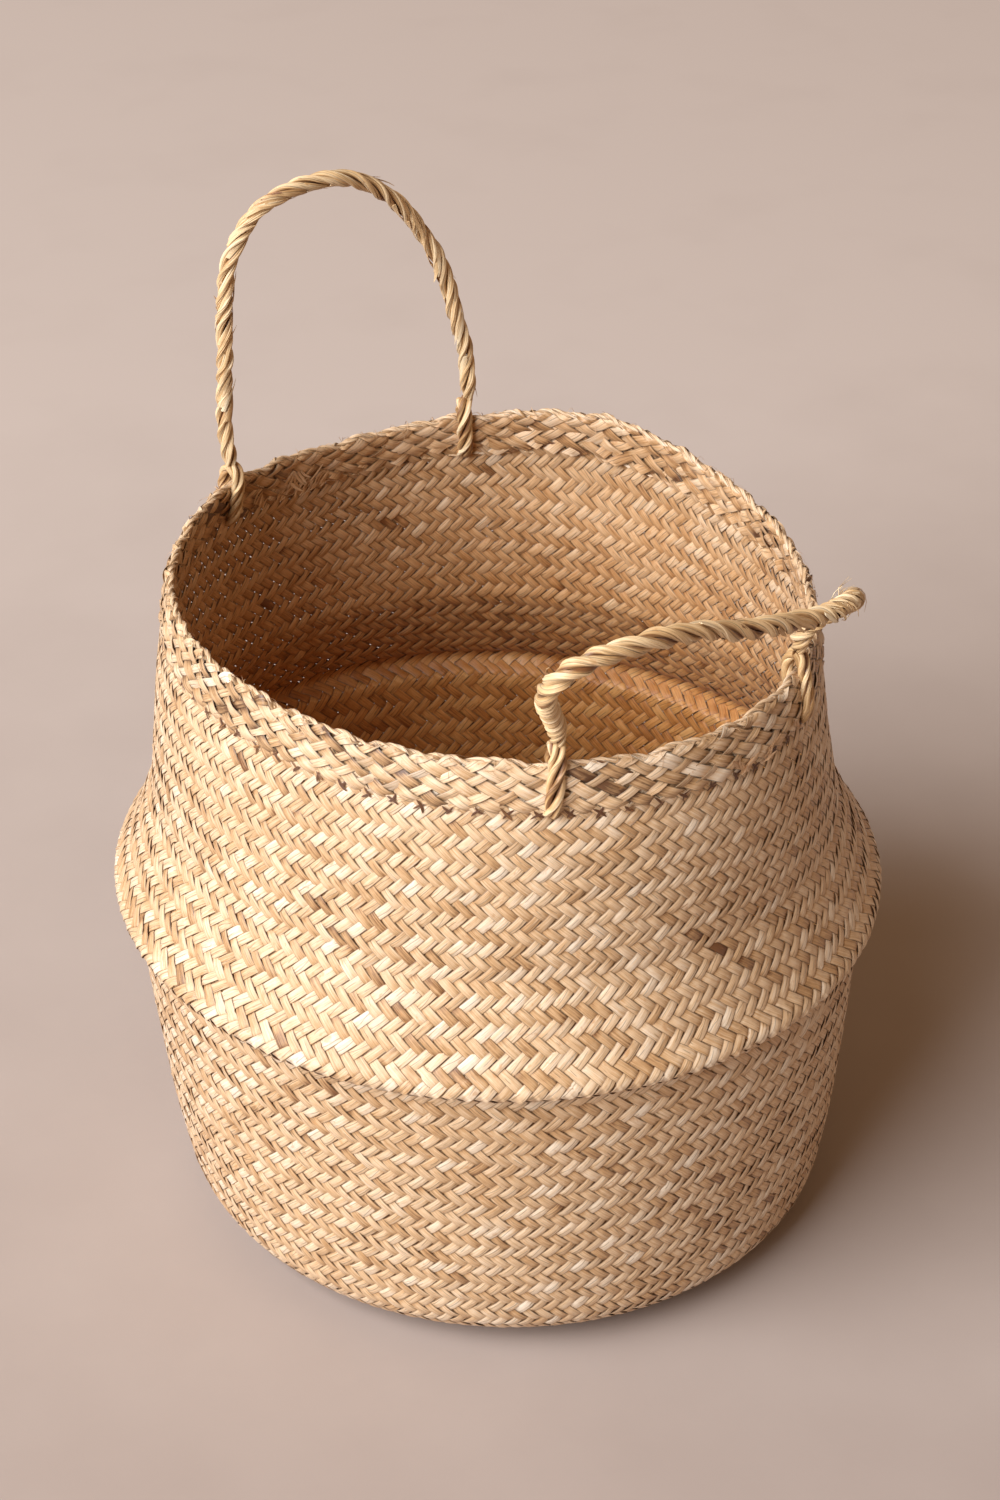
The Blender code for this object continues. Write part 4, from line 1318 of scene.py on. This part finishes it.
@dataclass
class Studio:
    """The pale floor, the soft light and the camera at the photograph's angle."""

    facing: float = math.radians(-32)
    elevation: float = math.radians(33.44)
    roll: float = math.radians(1.0)
    distance: float = 1.680
    target: tuple = (-0.0073, 0.0, 0.258)
    lens: float = 78.86
    floor_size: float = 60.0
    # Painted light falloff: the floor is painted darker near the camera and lighter away from it
    near_shaded_colour: tuple = (0.300, 0.234, 0.200)
    far_lit_colour: tuple = (0.520, 0.440, 0.390)

    def build(self) -> None:
        """Sets up the floor, the light and the camera."""
        self._floor()
        self._light("key", (-140, 36), 9.0, 7.6, 1800.0, (0.95, 0.99, 1.05))
        world = bpy.data.worlds.new("studio")
        world.use_nodes = True
        world.node_tree.nodes["Background"].inputs[0].default_value = (1.0, 0.64, 0.38, 1)
        world.node_tree.nodes["Background"].inputs[1].default_value = 0.31
        bpy.context.scene.world = world
        bpy.context.scene.view_settings.view_transform = "Standard"
        self._camera()

    def _turned(self, point: Vector) -> Vector:
        """A point of the camera's own frame, in the row frame."""
        return Matrix.Rotation(self.facing, 3, "Z") @ point

    def _floor(self) -> None:
        """The floor, which isn't part of the object."""
        bpy.ops.object.select_all(action="DESELECT")
        bpy.ops.mesh.primitive_plane_add(size=self.floor_size, location=(0, 0, -0.0004))
        floor = bpy.context.object
        floor.name = "studio_floor"
        bpy.ops.object.transform_apply(location=True, rotation=True, scale=True)
        material = bpy.data.materials.new("floor_plaster")
        material.use_nodes = True
        tree = material.node_tree
        shader = tree.nodes["Principled BSDF"]
        place = tree.nodes.new("ShaderNodeTexCoord")
        noise = tree.nodes.new("ShaderNodeTexNoise")
        noise.inputs["Scale"].default_value = 9.0
        noise.inputs["Detail"].default_value = 6.0
        tree.links.new(place.outputs["Object"], noise.inputs["Vector"])
        # Painted light falloff across the floor, darker towards the camera, with mottling on top
        away = tree.nodes.new("ShaderNodeVectorMath")
        away.operation = "DOT_PRODUCT"
        away.inputs[1].default_value = self._turned(Vector((-0.15, 0.98, 0)))
        tree.links.new(place.outputs["Object"], away.inputs[0])
        painted_falloff = tree.nodes.new("ShaderNodeMapRange")
        tree.links.new(away.outputs["Value"], painted_falloff.inputs[0])
        for socket, value in zip(painted_falloff.inputs[1:5], (-0.6, 0.9, 0.0, 0.85)):
            socket.default_value = value
        mottle = tree.nodes.new("ShaderNodeMath")
        mottle.operation = "MULTIPLY_ADD"
        mottle.inputs[1].default_value = 0.30
        tree.links.new(noise.outputs["Fac"], mottle.inputs[0])
        tree.links.new(painted_falloff.outputs[0], mottle.inputs[2])
        ramp = tree.nodes.new("ShaderNodeValToRGB")
        ramp.color_ramp.elements[0].color = (*self.near_shaded_colour, 1)
        ramp.color_ramp.elements[1].color = (*self.far_lit_colour, 1)
        tree.links.new(mottle.outputs[0], ramp.inputs[0])
        tree.links.new(ramp.outputs[0], shader.inputs["Base Color"])
        shader.inputs["Roughness"].default_value = 0.85
        floor.data.materials.append(material)

    def _light(self, name: str, angles: tuple, away: float, size: float, power: float, colour: tuple) -> None:
        """Adds one soft area light.

        Args:
            name: The light's name.
            angles: Azimuth in the camera's own frame and elevation, in degrees.
            away: Its distance from the basket.
            size: The side of its square.
            power: Its power in watts.
            colour: Its colour.
        """
        lamp = bpy.data.lights.new(name, "AREA")
        lamp.size = size
        lamp.energy = power
        lamp.color = colour
        light = bpy.data.objects.new(name, lamp)
        around, up = (math.radians(angle) for angle in angles)
        direction = Vector((math.cos(around) * math.cos(up), math.sin(around) * math.cos(up), math.sin(up)))
        middle = Vector((0, 0, 0.2))
        light.location = middle + self._turned(direction) * away
        light.rotation_euler = (light.location - middle).to_track_quat("Z", "Y").to_euler()
        bpy.context.scene.collection.objects.link(light)

    def _camera(self) -> None:
        """Places the camera as the photograph's, with its slight roll."""
        forward = Vector((0, math.cos(self.elevation), -math.sin(self.elevation)))
        right = Vector((1, 0, 0))
        up = Vector((0, math.sin(self.elevation), math.cos(self.elevation)))
        across = right * math.cos(self.roll) + up * math.sin(self.roll)
        upright = up * math.cos(self.roll) - right * math.sin(self.roll)
        place = self._turned(Vector(self.target) - forward * self.distance)
        axes = [self._turned(axis) for axis in (across, upright, -forward)]
        camera = bpy.data.objects.new("camera", bpy.data.cameras.new("camera"))
        camera.matrix_world = Matrix.Translation(place) @ Matrix(axes).transposed().to_4x4()
        camera.data.lens = self.lens
        camera.data.sensor_width = 36.0
        camera.data.clip_end = 50.0
        bpy.context.scene.collection.objects.link(camera)
        bpy.context.scene.camera = camera


def main() -> None:
    """Builds and dresses the basket, then sets up the studio."""
    logging.basicConfig(level=logging.INFO, format="%(name)s %(message)s")
    shape = HandShape()
    wall_line = SheetLine(wall_outline(), SHEET_THICKNESS / 2)
    wall_straw = WALL_FINISH.make()
    rope_straw = ROPE_FINISH.make()
    PlaitedWall(shape, wall_line).build(wall_straw)
    FloorMat(shape, wall_line).build(BASE_FINISH.make())
    FoldedBorder(shape, wall_line).build(BORDER_FINISH.make())
    back = RopeHandle(
        "back_handle",
        Part.BACK_HANDLE,
        shape,
        wall_line,
        (math.radians(114.5), math.radians(63.5)),
        ("back_left_tie", "back_right_tie"),
        BACK_ARCH,
        0.1520,
        0.0,
        (0.0, 0.0, 1.0),
        TwistedRope(4, 0.0017, 0.0025, ((0.0, 0.046), (0.3, 0.041), (0.6, 0.050), (1.0, 0.046)), blades=3, stray=0.0009),
        11,
    )
    front = RopeHandle(
        "front_handle",
        Part.FRONT_HANDLE,
        shape,
        wall_line,
        (math.radians(-111), math.radians(-61)),
        ("front_left_tie", "front_right_tie"),
        FRONT_ARCH,
        0.0930,
        0.0570,
        (0.0, -0.25, 0.97),
        TwistedRope(
            3,
            0.0023,
            0.0026,
            ((0.0, 0.018), (0.19, 0.019), (0.30, 0.040), (0.55, 0.048), (0.73, 0.044), (0.79, 0.016), (0.87, 0.018), (1.0, 0.026)),
            blades=3,
            stray=0.0007,
            shade_spread=0.08,
        ),
        211,
        sway=(-0.0036, -0.0026),
        loose=40,
        frayed=34,
        frayed_at=0.79,
    )
    for handle in (back, front):
        handle.build(rope_straw)
    Studio().build()


if __name__ == "__main__":
    main()
